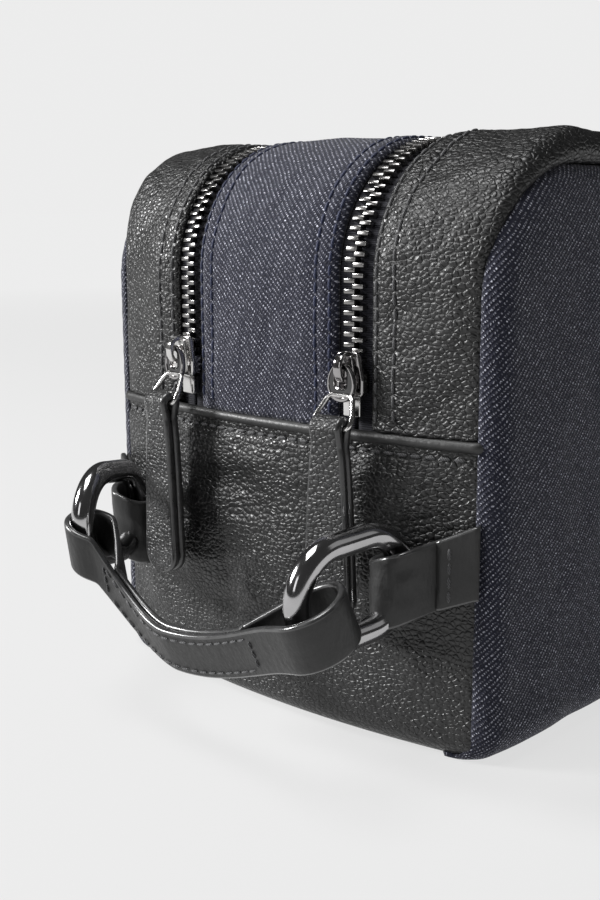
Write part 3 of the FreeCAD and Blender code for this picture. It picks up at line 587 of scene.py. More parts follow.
def thread(name, colour):
    p = Paint(name, Specular_IOR_Level=0.4, Sheen_Weight=0.1)
    twist = p.add("ShaderNodeTexWave", {"Vector": p.place(), "Scale": 900.0, "Distortion": 1.5},
                  wave_type="BANDS", bands_direction="DIAGONAL").outputs["Fac"]
    return p.finish(p.mix(twist, tuple(c * 0.45 for c in colour), colour),
                    p.ramp(twist, 0.0, 1.0, 0.65, 0.45), p.bump(twist, 0.7, 0.00012))


def plain_cloth(name, dark, light, scale):
    p = Paint(name, Specular_IOR_Level=0.2, Sheen_Weight=0.1)
    fine = p.noise(p.place(), scale, 3.0)
    return p.finish(p.mix(fine, dark, light), p.ramp(fine, 0.3, 0.7, 0.8, 0.95),
                    p.bump(fine, 0.5, 0.0002))


LEATHER = pebbled_leather("pebbled leather")
# The pulls are the same black leather in a lighter tone: painted light for the key light on their
# faces.
PULL_PAINTED_LIGHTER = pebbled_leather("pull leather painted lighter", 800.0, 0.8, 0.022)
STRAP = smooth_leather("strap leather", 0.013)
# The folded edge is the same leather in a lighter tone than the strap: a painted highlight along the
# fold.
BINDING_PAINTED_HIGHLIGHT = smooth_leather("folded leather edge painted highlight", 0.024)
EDGE = painted_edge()
DENIM_SIDE = denim("denim rising", 1)
DENIM_TOP = denim("denim falling", -1)
TAPE = tape_cloth()
CHROME = metal("polished nickel", (0.72, 0.71, 0.70), 0.16)
NICKEL = metal("zip teeth nickel", (0.27, 0.265, 0.26), 0.24)
STEEL = metal("polished gunmetal", (0.40, 0.39, 0.39), 0.12)
DARK = metal("dark gunmetal", (0.10, 0.10, 0.10), 0.14, 0.02)
RING = metal("ring gunmetal", (0.50, 0.495, 0.50), 0.12, 0.01)
# The black thread is coloured a lighter grey than black: a painted highlight so the stitches show as
# light dashes.
BLACK_THREAD = thread("black thread", (0.09, 0.09, 0.094))
NAVY_THREAD = thread("navy thread", (0.018, 0.026, 0.075))
LINING = plain_cloth("lining cloth", (0.012, 0.012, 0.015), (0.04, 0.04, 0.045), 1800.0)
FELT = plain_cloth("needled felt", (0.2, 0.2, 0.19), (0.45, 0.44, 0.42), 900.0)
BOARD = plain_cloth("fibre board", (0.05, 0.05, 0.05), (0.13, 0.13, 0.12), 1300.0)


# ---------------- leather end panels
SEAM_X = SIDE_SEAM - CLEAR
END_STITCH = 3.9               # the stitches under the folded edge are this far below the mid seam
END_LOW = Q_BASE - (FRONT - BASE_R - END_SEAM + 0.3)


def end_lift(gx, gq, sign):
    """How far the lower leather panel stands off the plain form."""
    side = SEAM_X - np.abs(gx)
    lift = roll(side, 1.5, 2.4) + ridge(-gq - END_STITCH, -0.45, 1.1)
    fade = np.clip(side / 14, 0, 1) * np.clip(-gq / 9, 0, 1) * np.clip((gq - Q_FOOT) / 16, 0, 1)
    lift = lift + fade * (0.9 * waves(gx, gq, 46, 3 + sign) + 0.9)
    lift = lift + 0.08 * fade * waves(gx * 0.7, gq * 1.9, 9, 11)
    lift = lift + np.clip(side / 10, 0, 1) * ridge(-gq - 8.5, 0.7, 5.5)
    pucker = ridge(-gq - 5.5, 0.09, 1.6) * np.sin(2 * math.pi * gx / 3.3)
    return lift + pucker * np.clip(side / 3, 0, 1)


def end_panel(sign, word):
    """The lower leather panel: soft hollows, pebbled grain and rolled side edges."""
    step = 0.47 if sign > 0 else 0.8
    x = stations(-SEAM_X, SEAM_X, step)
    q = stations(END_LOW, -0.4, step)
    gx, gq = np.meshgrid(x, q)
    rise = pebbles(gx + 0.35 * waves(gx, gq, 5, 5), gq * 1.12 + 0.3 * waves(gx, gq, 4, 6), 1.4, 2.0)
    edge = np.clip((SEAM_X - np.abs(gx)) / 2, 0, 1)
    lift = end_lift(gx, gq, sign) + 0.022 * (rise - 1) * edge * (gq > Q_FOOT)
    return sheet(f"end_panel_{word}_leather", x, at_end(q, sign), lift, [LEATHER],
                 [f"end_panel_{word}"])


def seam_binding(sign, word):
    """The folded edge along the top of an end panel, standing a little proud."""
    x = stations(-SEAM_X - 0.2, SEAM_X + 0.2, 1.2)
    turn = np.linspace(0, math.pi, 9)
    q = -1.05 + 1.3 * np.cos(turn)
    gx, _ = np.meshgrid(x, q)
    lift = np.outer(1.35 * np.sin(turn) - 0.35, np.ones(len(x))) - \
        np.clip(1 - (SEAM_X - np.abs(gx)) / 2.0, 0, 1) ** 2 * 0.9
    return sheet(f"end_panel_{word}_folded_edge", x, at_end(q, sign), lift, [BINDING_PAINTED_HIGHLIGHT],
                 solid=0.6)


for sign, word in ENDS:
    end_panel(sign, word)
    seam_binding(sign, word)
    row = np.linspace(-SEAM_X + 3, SEAM_X - 3, 160)
    down = np.full(160, -END_STITCH)
    surface_row(f"end_panel_{word}_stitches", row, at_end(down, sign), BLACK_THREAD,
                lift=end_lift(row, down, sign) + 0.12, pitch=3.3)


# ---------------- leather strips over the top
STRIP_INNER = ZIP_X + OPENING / 2 + CLEAR
STRIP_STITCHES = (("inner", 1.5), ("outer", 6.1))       # how far in from the edge beside the zip


def strip_lift(gx, gq, edge, seam, side):
    """How far a leather strip stands off the plain form."""
    lift = roll(edge, 1.7, 1.3) + roll(seam, 2.2, 3.2)
    lift = lift + sum(ridge(edge - gap, -0.2, 0.7) for _, gap in STRIP_STITCHES)
    pull = np.clip(edge / 7, 0, 1) * np.clip(seam / 7, 0, 1)
    lift = lift + pull * (0.55 + 0.6 * waves(gx, gq, 38, 21 + side)
                          + 0.06 * waves(gx * 1.6, gq, 7, 23))
    pucker = ridge(edge - 7.4, 0.07, 1.2) + ridge(edge - 3.8, 0.07, 1.0)
    lift = lift + pucker * np.sin(2 * math.pi * gq / 3.1)
    return lift + ridge(edge - 3.8, 0.25, 1.5)


def top_strip(side, word):
    fine, coarse, ends = 0.62, 1.3, 100
    inner = STRIP_INNER
    share = (stations(inner, SEAM_X, fine, 2.4) - inner) / (SEAM_X - inner)
    q = np.concatenate([np.arange(0.4, ends, fine), np.arange(ends, Q_END - ends, coarse),
                        np.arange(Q_END - ends, Q_END - 0.4, fine), [Q_END - 0.4]])
    gs, gq = np.meshgrid(share, q)
    outer = strip_edge(gq)
    gx = inner + gs * (outer - inner)
    edge, seam = gx - inner, outer - gx
    rise = pebbles(gx + 0.3 * waves(gx, gq, 5, 7), gq + 0.3 * waves(gx, gq, 4, 8), 1.3, 5.0 + side)
    fade = np.clip(seam / 2, 0, 1) * np.clip(edge / 1.5, 0, 1)
    lift = strip_lift(gx, gq, edge, seam, side) + 0.02 * (rise - 1) * fade
    return sheet(f"top_strip_{word}_leather", side * gx, gq, lift, [LEATHER],
                 [f"top_strip_{word}"])


ALONG = np.linspace(1.5, Q_END - 1.5, 900)
for side, word in SIDES:
    top_strip(side, word)
    for number, gap in STRIP_STITCHES:
        x = np.full(len(ALONG), STRIP_INNER + gap)
        lift = strip_lift(x, ALONG, np.full(len(ALONG), gap), strip_edge(ALONG) - x, side)
        surface_row(f"top_strip_{word}_{number}_stitches", side * x, ALONG, BLACK_THREAD,
                    lift=lift + 0.1)


# ---------------- denim
CENTRE_STITCHES = (("outer", 1.6), ("inner", 5.4))


def centre_lift(gx, gq, edge):
    """How far the denim strip between the zips stands off the plain form."""
    lift = roll(edge, 1.7, 1.4) + ridge(edge - 3.5, 0.28, 1.2)
    lift = lift + sum(ridge(edge - gap, -0.22, 0.8) for _, gap in CENTRE_STITCHES)
    return lift + np.clip(edge / 9, 0, 1) * (0.5 + 0.35 * waves(gx, gq, 33, 41))


def centre_strip():
    reach = ZIP_X - OPENING / 2 - CLEAR
    across = stations(-reach, reach, 1.0, 2.4)
    q = np.concatenate([np.arange(0.2, Q_END - 0.2, 1.2), [Q_END - 0.2]])
    gx, gq = np.meshgrid(across, q)
    lift = centre_lift(gx, gq, reach - np.abs(gx))
    sheet("top_centre_strip_denim", across, q, lift, [DENIM_TOP], ["top_centre_strip"],
          solid=1.0)
    for side, word in SIDES:
        for number, gap in CENTRE_STITCHES:
            x = np.full(len(ALONG), side * (reach - gap))
            lift = centre_lift(x, ALONG, np.full(len(ALONG), gap)) + 0.1
            surface_row(f"top_centre_strip_{word}_{number}_stitches", x, ALONG, NAVY_THREAD,
                        lift=lift, pitch=3.0)


SIDE_TURN = 8.0                # the turn of the sides under the base


def side_face(side):
    """The pillowed face of a denim side, its edges turned in at the seam."""
    ends = float(face_y(SIDE_SEAM))
    top, corner, turn, rim = TALL - WRAP, TOP_R - 4.0, SIDE_TURN, 5.5
    bend = rim * (1 - np.cos(np.linspace(0, math.pi / 2, 9)))
    heights = np.concatenate([np.arange(turn, top - rim, 1.5), top - bend[::-1]])
    share = np.linspace(-1, 1, 150)
    above = np.clip(heights - (top - corner), 0, corner)
    reach = (ends - corner + np.sqrt(corner ** 2 - above ** 2))[:, None]
    y = np.concatenate([-reach + bend, share[1:-1] * (reach - rim), reach - bend[::-1]], 1)
    up = np.repeat(heights[:, None], y.shape[1], 1)
    gone_y = np.maximum(np.abs(y) - (ends - corner), 0)
    gone_z = np.maximum(up - (top - corner), 0)
    inside = np.minimum(ends - np.abs(y), top - up)
    distance = np.where((gone_y > 0) & (gone_z > 0), corner - np.hypot(gone_y, gone_z), inside)
    distance = np.maximum(distance, 0)
    high = np.where(gone_y > 0, gone_z / np.maximum(np.hypot(gone_y, gone_z), 1e-6),
                    (top - up < ends - np.abs(y)).astype(float)) ** 2
    depth = (HALF - SIDE_SEAM + 1.2) * (1 - high) + 2.2 * high
    soft = np.clip(distance / 26, 0, 1)
    puff = 1.3 * np.sin(soft * math.pi / 2) + 0.7 * soft * waves(y, up, 74, 61 + side)
    puff = puff + 0.5 * np.clip(1 - up / 40, 0, 1) * soft
    pucker = ridge(distance - 3, 0.14, 2.5) * np.sin(2 * math.pi * (y + up) / 5.1)
    near = 1 - np.clip(distance / 5.0, 0, 1)
    x = HALF - depth * (1 - np.sqrt(np.maximum(1 - near ** 2, 0))) + puff + pucker
    return np.stack([x, y, up], -1)


def side_wrap(low):
    """Rows that carry the lowest row of a side's face round and in under the base."""
    turn, flat, inner_x = SIDE_TURN, SIDE_TURN * 0.85, BASE_SEAM + 0.2
    wrap = []
    for step in np.linspace(0, 1, 7):
        wrap.append(np.stack([inner_x + (low[:, 0] - flat - inner_x) * step,
                              low[:, 1] * (0.985 + 0.015 * step),
                              np.full(len(low), 0.25 - 0.15 * step)], -1))
    for angle in np.linspace(0.2, math.pi / 2, 9)[:-1]:
        wrap.append(np.stack([low[:, 0] - flat * (1 - math.sin(angle)), low[:, 1],
                              np.full(len(low), turn * (1 - math.cos(angle)) + 0.1)], -1))
    return np.array(wrap)


def side_panel(side, word):
    face = side_face(side)
    face = np.concatenate([side_wrap(face[0]), face])
    face[..., 0] *= side
    count, cols = face.shape[:2]
    runs = distances(face[:, cols // 2])
    rows = np.linalg.norm(np.diff(face, axis=1), axis=2)
    rows = np.concatenate([np.zeros((count, 1)), np.cumsum(rows, axis=1)], 1)
    rows = rows - rows[:, cols // 2][:, None]
    uv = np.stack([rows * side, np.repeat(runs[:, None], cols, 1)], -1).reshape(-1, 2)
    return make(f"side_panel_{word}_denim", face.reshape(-1, 3),
                grid_faces(count, cols, side < 0), [DENIM_SIDE], "bag",
                [f"side_panel_{word}"], uv, solid=1.0)


centre_strip()
for side, word in SIDES:
    side_panel(side, word)

x = stations(-BASE_SEAM + 0.15, BASE_SEAM - 0.15, 2.0)
y = stations(-END_SEAM + 0.2, END_SEAM - 0.2, 2.4)
gx, gy = np.meshgrid(x, y)
near = np.minimum(BASE_SEAM - np.abs(gx), END_SEAM - np.abs(gy))
points = np.stack([gx, gy, 0.15 - roll(near, 0.8, 1.8)], -1)
make("base_panel_denim", points.reshape(-1, 3), grid_faces(*gx.shape, True), [DENIM_TOP], "bag",
     ["base_panel"], np.stack([gx, gy], -1).reshape(-1, 2), solid=1.0)


# ---------------- zips
def zip_tape(side, word, place, away):
    across = side * (ZIP_X + away * np.linspace(0.35, 8.6, 9))
    q = np.concatenate([np.arange(-6.5, Q_END + 6.5, 1.5), [Q_END + 6.5]])
    gx, gq = np.meshgrid(across, q)
    lift = -2.15 + 0.05 * waves(gx, gq, 9, 71)
    return sheet(f"zip_tape_{word}_{place}_cloth", across, q, lift, [TAPE],
                 [f"zip_tape_{word}_{place}"], solid=0.55)


def along_zip(x, q, lift):
    """Places on a zip, with the directions along it and off the bag."""
    points, normals = form(x, q, lift)
    ahead, _ = form(x, q + 0.2, lift)
    return points, unit(ahead - points), normals


TOOTH = block(2.8, 0.98, 1.85, 0.2)
TOOTH_PITCH = 2.3
FIRST = 79.2 - SEAM            # the first tooth, above the stop and the slider


def teeth(side, word, place, away):
    start = FIRST if away > 0 else FIRST + TOOTH_PITCH / 2
    q = np.arange(start, Q_END - FIRST + 0.01, TOOTH_PITCH)
    x = np.full(len(q), side * (ZIP_X + away * 1.1))
    points, along, normals = along_zip(x, q, -1.08)
    cross = unit(np.cross(along, normals))
    verts, faces = instances(TOOTH, points, list(zip(cross, along, normals)))
    return make(f"zip_teeth_{word}_{place}_metal", verts, faces, [NICKEL], "bag",
                [f"zip_teeth_{word}_{place}"], sharp=32)


STOP = block(4.5, 4.4, 1.9, 0.35, 3)
for side, word in SIDES:
    for place, away in (("outer", 1), ("inner", -1)):
        zip_tape(side, word, place, away)
        teeth(side, word, place, away)
    for sign, end in ENDS:
        node = f"zip_stop_{word}_{end}"
        lo, hi = node_box(node)
        q = np.array([at_end((lo[2] + hi[2]) / 2 - SEAM, sign)])
        points, along, normals = along_zip([side * ZIP_X], q, -0.55)
        verts, faces = instances(STOP, points, [(np.cross(along, normals)[0], along[0], normals[0])])
        make(f"zip_stop_{word}_{end}_metal", verts, faces, [CHROME], "bag", [node],
             sharp=32)


# ---------------- sliders, links, wires and pulls
SLIDER_HIGH = 83.5


def seat(side, points):
    """From a slider's own frame (across, up, out) to the shared frame."""
    points = np.asarray(points, float)
    lean = side * math.asin(ZIP_X / END_R)
    origin = np.array([side * ZIP_X, -float(face_y(ZIP_X)), SLIDER_HIGH])
    across = np.array([math.cos(lean), math.sin(lean), 0])
    out = np.array([math.sin(lean), -math.cos(lean), 0])
    return origin + points[..., :1] * across + points[..., 1:2] * np.array([0, 0, 1.0]) \
        + points[..., 2:3] * out


def rounded(corners, radius, steps=5):
    """A closed outline with rounded corners."""
    corners = [np.array(c, float) for c in corners]
    line = []
    for k, corner in enumerate(corners):
        before, after = corners[k - 1], corners[(k + 1) % len(corners)]
        into, away = unit(corner - before), unit(after - corner)
        turn = math.acos(max(-1.0, min(1.0, float(np.dot(into, away)))))
        if turn < 0.05:
            line.append(corner)
            continue
        back = min(radius * math.tan(turn / 2), np.linalg.norm(corner - before) * 0.45,
                   np.linalg.norm(after - corner) * 0.45)
        start, end = corner - into * back, corner + away * back
        for s in np.linspace(0, 1, steps):
            line.append((1 - s) ** 2 * start + 2 * s * (1 - s) * corner + s ** 2 * end)
    return line


def slider_piece(side, word):
    wide, narrow = 4.0, 2.9
    body = plate(rounded([(-wide, -5), (wide, -5), (wide, -1.2), (narrow, 4.9), (-narrow, 4.9),
                          (-wide, -1.2)], 1.5), 0.5, 2.0, 0.45)
    crown = plate(rounded([(-2.2, -4.2), (2.2, -4.2), (1.7, 4.2), (-1.7, 4.2)], 1.2), 1.8, 2.5, 0.3)
    flanges = []
    for sign in (-1, 1):
        points, faces = block(0.8, 4.2, 2.4, 0.2)
        flanges.append((points + np.array([sign * 3.45, -2.0, -0.3]), faces))
    arch = np.array([(0, 4.3, 1.8), (0, 4.3, 3.6), (0, 3.9, 4.7), (0, 3.0, 5.4), (0, 1.6, 5.65),
                     (0, 0.2, 5.4), (0, -0.9, 4.7), (0, -1.3, 3.6), (0, -1.3, 1.8)])
    fine = np.array([[np.interp(t, np.arange(9), arch[:, k]) for k in range(3)]
                     for t in np.linspace(0, 8, 33)])
    tangent = unit(np.gradient(fine, axis=0))
    across = np.tile([1.0, 0, 0], (33, 1))
    normal = np.cross(tangent, across)
    verts, faces, _ = ribbon(fine, normal, across, -0.95, 0.95, 1.1, corner=0.4)
    points, all_faces = merge(body, crown, *flanges, (verts, faces))
    return make(f"slider_{word}_metal", seat(side, points), all_faces, [STEEL if side > 0 else
                CHROME], f"slider_{word}", [f"slider_{word}"], sharp=35)


def link_piece(side, word):
    """A teardrop plate with a polished rim and a window for the bridge."""
    angle = np.linspace(0, 2 * math.pi, 49)[:-1]
    outer = np.stack([3.5 * np.sin(angle) * (1 - 0.12 * np.cos(angle)),
                      -1.55 + 4.3 * np.cos(angle)], -1)
    inner = []
    for t in angle:
        c, s = math.cos(t), math.sin(t)
        r = 1.0 / max(abs(s) / 1.5, abs(c) / 2.0, 1e-6)
        r = min(r, 2.15)
        inner.append((r * s, -0.7 + r * c))
    inner = np.array(inner)
    thick, round_ = 0.62, 0.3
    section = [(0.0, -thick + round_), (0.06, -thick), (0.94, -thick), (1.0, -thick + round_),
               (1.0, thick - round_), (0.93, thick), (0.78, thick), (0.72, thick - 0.22),
               (0.16, thick - 0.22), (0.1, thick), (0.0, thick - round_)]
    verts = []
    for share, out in section:
        ring = inner * (1 - share) + outer * share
        verts.append(np.concatenate([ring, np.full((48, 1), 4.0 + out)], 1))
    verts = np.array(verts).transpose(1, 0, 2)
    cols = len(section)
    faces = looped_faces(48, cols)
    sunk = [int(k % cols in (7, 8)) for k in range(len(faces))]
    obj = make(f"pull_link_{word}_plate", seat(side, verts.reshape(-1, 3)), faces, [STEEL, DARK],
               f"link_{word}", [f"pull_link_{word}"], face_slots=sunk, sharp=40)
    bm = bmesh.new()
    bm.from_mesh(obj.data)
    bmesh.ops.recalc_face_normals(bm, faces=bm.faces[:])
    bm.to_mesh(obj.data)
    bm.free()
    return obj


WIRE_TOP, WIRE_LOW = np.array([0, -4.3, 4.3]), np.array([0, -10.8, 8.3])     # in a slider's frame


def wire_piece(side, word):
    """A bent wire that hangs from the link and leans out, so that the leather hangs clear."""
    top, low = WIRE_TOP, WIRE_LOW
    shoulder = top + (low - top) * 0.62
    wide, narrow = np.array([4.7, 0, 0]), np.array([3.0, 0, 0])
    line = rounded([top - narrow, top + narrow, shoulder + wide, low + wide, low - wide,
                    shoulder - wide], 2.0, 9)
    path = np.array(line)
    verts, faces = tube(path, 0.6, 16)
    return make(f"pull_wire_{word}_ring", seat(side, verts), faces, [CHROME], f"wire_{word}",
                [f"pull_wire_{word}"])


def pull_piece(side, word):
    """A leather strip folded over the wire: a front layer, the fold and a back layer."""
    low, out = WIRE_LOW[1:]
    foot, layer, tip_long = -53.3, 2.1, 5.2
    down = [foot, *np.linspace(foot + 0.15, low - 3.4, 56)]
    line = [(z, out + layer / 2) for z in down]
    line += [(low - 0.2 + 1.95 * math.sin(t), out + 1.85 * math.cos(t))
             for t in np.linspace(0, math.pi, 19)]
    line += [(z, out - layer / 2) for z in down[::-1]]
    line = np.array(line)
    z = line[:, 0]
    path = np.stack([np.zeros(len(z)), z, line[:, 1]], -1)
    tangent = unit(np.gradient(path, axis=0))
    across = np.tile([1.0, 0, 0], (len(z), 1))
    normal = np.cross(across, tangent)
    if normal[20][2] < 0:
        normal = -normal
    share = np.clip((low - 4 - z) / (low - 4 - (foot + tip_long)), 0, 1)
    half = 4.0 + 2.1 * share ** 0.6
    tip = np.clip((foot + tip_long - z) / tip_long, 0, 1)
    half = half * np.sqrt(np.maximum(1 - tip ** 2.2, 0.004))
    verts, faces, slots = ribbon(path, normal, across, -half, half, layer - 0.12, 0.4, 5)
    return make(f"leather_pull_{word}_strip", seat(side, verts), faces, [PULL_PAINTED_LIGHTER, EDGE],
                f"pull_{word}", [f"leather_pull_{word}"], face_slots=slots)


for side, word in SIDES:
    slider_piece(side, word)
    link_piece(side, word)
    wire_piece(side, word)
    pull_piece(side, word)
    repaint(f"slider_{word}_inner_plate", STEEL)

# ---------------- rings, tabs and the handle
PIVOT = joint_at("ring_right_swing")
HINGE = joint_at("handle_swing")
RING_X = PIVOT[0]
RING_R, RING_THICK = 10.2, 5.6
TAB_Y, TAB_Z = -136.35, PIVOT[2]

# The strap pulls each ring askew: turned inwards and raised, by side.
LEAN = {1: math.radians(6.0), -1: math.radians(24.0)}
RAISE = {1: 0.0, -1: math.radians(11.0)}


def lean_in(points, side, share=1.0):
    """Turn something on a ring inwards about the ring's tab, as the handle pulls it."""
    angle = LEAN[side] * np.broadcast_to(share, points.shape[:-1]) * side
    rise = RAISE[side] * np.broadcast_to(share, points.shape[:-1])
    x, away, up = points[..., 0] - side * RING_X, points[..., 1] - TAB_Y, points[..., 2] - TAB_Z
    y = away * np.cos(rise) + up * np.sin(rise)
    z = up * np.cos(rise) - away * np.sin(rise)
    return np.stack([side * RING_X + x * np.cos(angle) + y * np.sin(angle),
                     TAB_Y - x * np.sin(angle) + y * np.cos(angle), TAB_Z + z], -1)


def ring_piece(side, word):
    """An oval bar round two centres, one in the tab and one in the handle's roll."""
    start, end = PIVOT[1:], HINGE[1:]
    axis = unit(end - start)
    up = np.array([axis[1], -axis[0]]) * np.sign(-axis[0])
    line = []
    for here, there, sign in ((end, start, 1), (start, end, -1)):
        line += [here + sign * RING_R * (math.cos(t) * axis + math.sin(t) * up)
                 for t in np.linspace(-math.pi / 2, math.pi / 2, 33)]
        line += [here + (there - here) * s + sign * RING_R * up
                 for s in np.linspace(0, 1, 9)[1:-1]]
    path = np.concatenate([np.full((len(line), 1), side * RING_X), np.array(line)], 1)
    verts, faces = tube(lean_in(path, side), RING_THICK / 2, 36)
    return make(f"ring_{word}_bar", verts, faces, [RING], f"ring_{word}",
                [f"ring_{word}"])


def arc(centre, radius, angle):
    return centre + radius * np.stack([np.cos(angle), np.sin(angle)], -1)


def loop_line(centre, radius, tail, turn):
    """The angle at which a line from a tail point meets a circle, and the line up to there."""
    gap = tail - centre
    reach = np.linalg.norm(gap)
    start = math.atan2(gap[1], gap[0]) + turn * math.acos(min(0.999, radius / reach))
    meet = arc(centre, radius, start)
    return start, np.array([tail + (meet - tail) * s for s in np.linspace(0, 1, 14)])


def tab_piece(side, word):
    """A strip sewn in the side seam, folded round the ring and sewn to itself."""
    centre = np.array([RING_X, TAB_Y])
    tail = np.array([SIDE_SEAM + 0.3, -float(face_y(SIDE_SEAM)) - 0.5])
    radius = 5.4
    toward = unit(centre - tail)
    beside = np.array([-toward[1], toward[0]])
    beside = beside * np.sign(beside[1])
    offset = beside * 0.76
    sewn = tail + toward * 8.0
    start, first = loop_line(centre, radius, sewn + offset, -1)
    other, second = loop_line(centre, radius, sewn - offset, 1)
    if start > math.pi:
        start -= 2 * math.pi
    sweep = np.linspace(start, other - (2 * math.pi if other > start else 0), 40)
    if abs(sweep[-1] - sweep[0]) < math.pi:
        sweep = np.linspace(start, other, 40)
    flat = tail + toward * np.linspace(0, 7.6, 8)[:, None]
    line = np.concatenate([flat + offset, first[:-1], arc(centre, radius, sweep),
                           second[::-1][1:], (flat - offset)[::-1]])
    line[:, 0] *= side
    path = np.concatenate([line, np.zeros((len(line), 1))], 1)
    tangent = unit(np.gradient(path, axis=0))
    across = np.tile([0, 0, 1.0], (len(path), 1))
    normal = np.cross(tangent, across)
    path[:, 2] = TAB_Z + 3.5 - 8.5 * np.clip((tail[0] - side * path[:, 0]) / 19, 0, 1)
    away = np.linalg.norm(line - np.array([side * tail[0], tail[1]]), axis=1)
    half = 8.2 - 0.45 * np.sin(np.clip(away / 22, 0, 1) * math.pi)
    verts, faces, slots = ribbon(path, normal, across, -half, half, 1.5, 0.42, 11)
    verts = np.asarray(verts, float)
    crumple = 0.5 * waves(verts[:, 0] * 0.8, verts[:, 2], 12, 71 + side)
    loose = np.clip((np.hypot(verts[:, 0] - side * tail[0], verts[:, 1] - tail[1]) - 8) / 6, 0, 1)
    verts[:, 1] -= loose * crumple
    verts[:, 2] += 0.25 * loose * waves(verts[:, 0], verts[:, 1], 17, 73)
    make(f"ring_tab_{word}_strip", verts, faces, [STRAP, EDGE], "bag",
         [f"ring_tab_{word}"], face_slots=slots)
    place = tail + toward * 6.2 - beside * 1.55
    zs = np.linspace(TAB_Z - 7.2, TAB_Z + 7.2, 40) + 0.8
    row = np.stack([np.full(40, side * place[0]), np.full(40, place[1]), zs], -1)
    normals = np.tile([-side * beside[0], -beside[1], 0.0], (40, 1))
    stitches(f"ring_tab_{word}_stitches", row, normals, BLACK_THREAD)


HANG = math.radians(24.0)      # the handle hangs this far below straight out
SAG, SAG_REACH = 14.5, 59.0    # how far the handle's middle sags, and from where
ROLLS = {1: (44.2, 7.5), -1: (40.5, 5.8)}   # where the strap's roll round a ring is, its radius
STRAP_IN, STRAP_OUT = 13.75, 15.45          # the two layers in the handle's own frame
STITCH_OUT = 16.3


def hang(points):
    """From the handle's own frame (across, out, up) to the shared frame."""
    points = np.asarray(points, float)
    x, out, up = points[..., 0], points[..., 1], points[..., 2]
    y = HINGE[1] - out * math.cos(HANG) - up * math.sin(HANG)
    z = HINGE[2] - out * math.sin(HANG) + up * math.cos(HANG)
    placed = np.stack([x, y, z], -1)
    for side in (1, -1):
        share = np.clip(side * x / 38, 0, 1) ** 1.5
        placed = np.where((side * x > 0)[..., None], lean_in(placed, side, share), placed)
    return placed


def turned(vectors, around):
    """Directions in the handle's own frame, at points in it, as unit ones in the shared frame."""
    around = np.asarray(around, float)
    return unit(hang(around + 0.01 * np.asarray(vectors, float)) - hang(around))


def droop(x):
    return -SAG * (0.5 + 0.5 * np.cos(math.pi * np.minimum(np.abs(x) / SAG_REACH, 1)))


def half_strap(across, radius):
    """One half of the strap seen from above: its tail, a loose roll round the ring, the run."""
    centre = np.array([across, STRAP_OUT - radius])
    start, first = loop_line(centre, radius, np.array([26.0, STRAP_IN]), 1)
    if start > math.pi:
        start -= 2 * math.pi
    run = np.stack([np.linspace(across, 0, 40)[1:], np.full(39, centre[1] + radius)], -1)
    return np.concatenate([first[:-1], arc(centre, radius, np.linspace(start, math.pi / 2, 40)),
                           run])


def strap_layer(name, node, path, normal, half, thick):
    """A layer of the strap along a path in the handle's own frame."""
    across = np.tile([0, 0, 1.0], (len(path), 1))
    verts, faces, slots = ribbon(hang(path), turned(normal, path), turned(across, path),
                                 -half, half, thick, 0.42, 5)
    make(name, verts, faces, [STRAP, EDGE], "handle", [node], face_slots=slots)


def strap_stitches(name, x, up, pitch, length):
    """A row of stitches on the outside of the strap, up from its middle line."""
    row = np.stack([x, np.full(len(x), STITCH_OUT), droop(x) + up], -1)
    normals = turned(np.tile([0, 1.0, 0], (len(x), 1)), row)
    stitches(name, hang(row), normals, BLACK_THREAD, "handle", pitch, length, 0.55)


def handle_piece():
    """The strap folded round both rings, the backing sewn inside it, and their stitches."""
    line = np.concatenate([half_strap(*ROLLS[1]),
                           half_strap(*ROLLS[-1])[::-1][1:] * np.array([-1, 1])])
    path = np.concatenate([line, np.zeros((len(line), 1))], 1)
    normal = np.cross(unit(np.gradient(path, axis=0)), np.tile([0, 0, 1.0], (len(path), 1)))
    path[:, 2] = droop(path[:, 0])
    strap_layer("handle_strap_leather", "handle_strap", path, normal, 6.0, 1.65)
    x = np.linspace(-27, 27, 60)
    back = np.stack([x, np.full(60, 13.72), droop(x)], -1)
    strap_layer("handle_backing_leather", "handle_backing", back, np.tile([0, 1.0, 0], (60, 1)),
                5.9, 1.55)
    for word, up in (("upper", 4.1), ("lower", -4.1)):
        strap_stitches(f"handle_{word}_stitches", np.linspace(-31, 31, 120), up, 3.0, 2.3)
    for side, word in SIDES:
        strap_stitches(f"handle_end_stitches_{word}", np.full(24, side * 31.5),
                       np.linspace(-4.6, 4.6, 24), 2.4, 2.0)


for side, word in SIDES:
    ring_piece(side, word)
    tab_piece(side, word)
handle_piece()


# ---------------- inside: padding, lining, board
# What a layer's pieces are called after, how deep it lies, its thickness, material and slot.
PADDING = ("felt", 3.1, 1.5, FELT, "padding_felt")
CLOTH = ("cloth", 5.0, 0.6, LINING, "lining_cloth")


def inner_sheet(node, layer, x, q):
    name, depth, thick, material, slot = layer
    sheet(f"{node}_{name}", x, q, np.full((len(q), len(x)), -depth), [material], [node],
          solid=thick)


for sign, word in ENDS:
    q = at_end(np.arange(-58.0, -2, 2.0), sign)
    inner_sheet(f"end_padding_{word}", PADDING, np.linspace(-50, 50, 40), q)
for side, word in SIDES:
    lo, hi = node_box(f"side_padding_{word}")
    y, z = np.meshgrid(np.linspace(-98, 98, 60), np.linspace(12, 118, 40))
    for node, (name, depth, thick, paint, slot) in (("side_padding", PADDING), ("lining", CLOTH)):
        points = np.stack([np.full(y.shape, side * (HALF - depth)), y, z], -1)
        make(f"{node}_{word}_{name}", points.reshape(-1, 3), grid_faces(*y.shape, side < 0), [paint],
             "bag", [f"{node}_{word}"], np.stack([y, z], -1).reshape(-1, 2), solid=thick)
q = np.linspace(Q_TOP + 4, Q_END - Q_TOP - 4, 90)
inner_sheet("top_padding", PADDING, np.linspace(-14, 14, 16), q)
inner_sheet("lining_top_centre", CLOTH, np.linspace(-14, 14, 16), q)
repaint("base_board", BOARD)

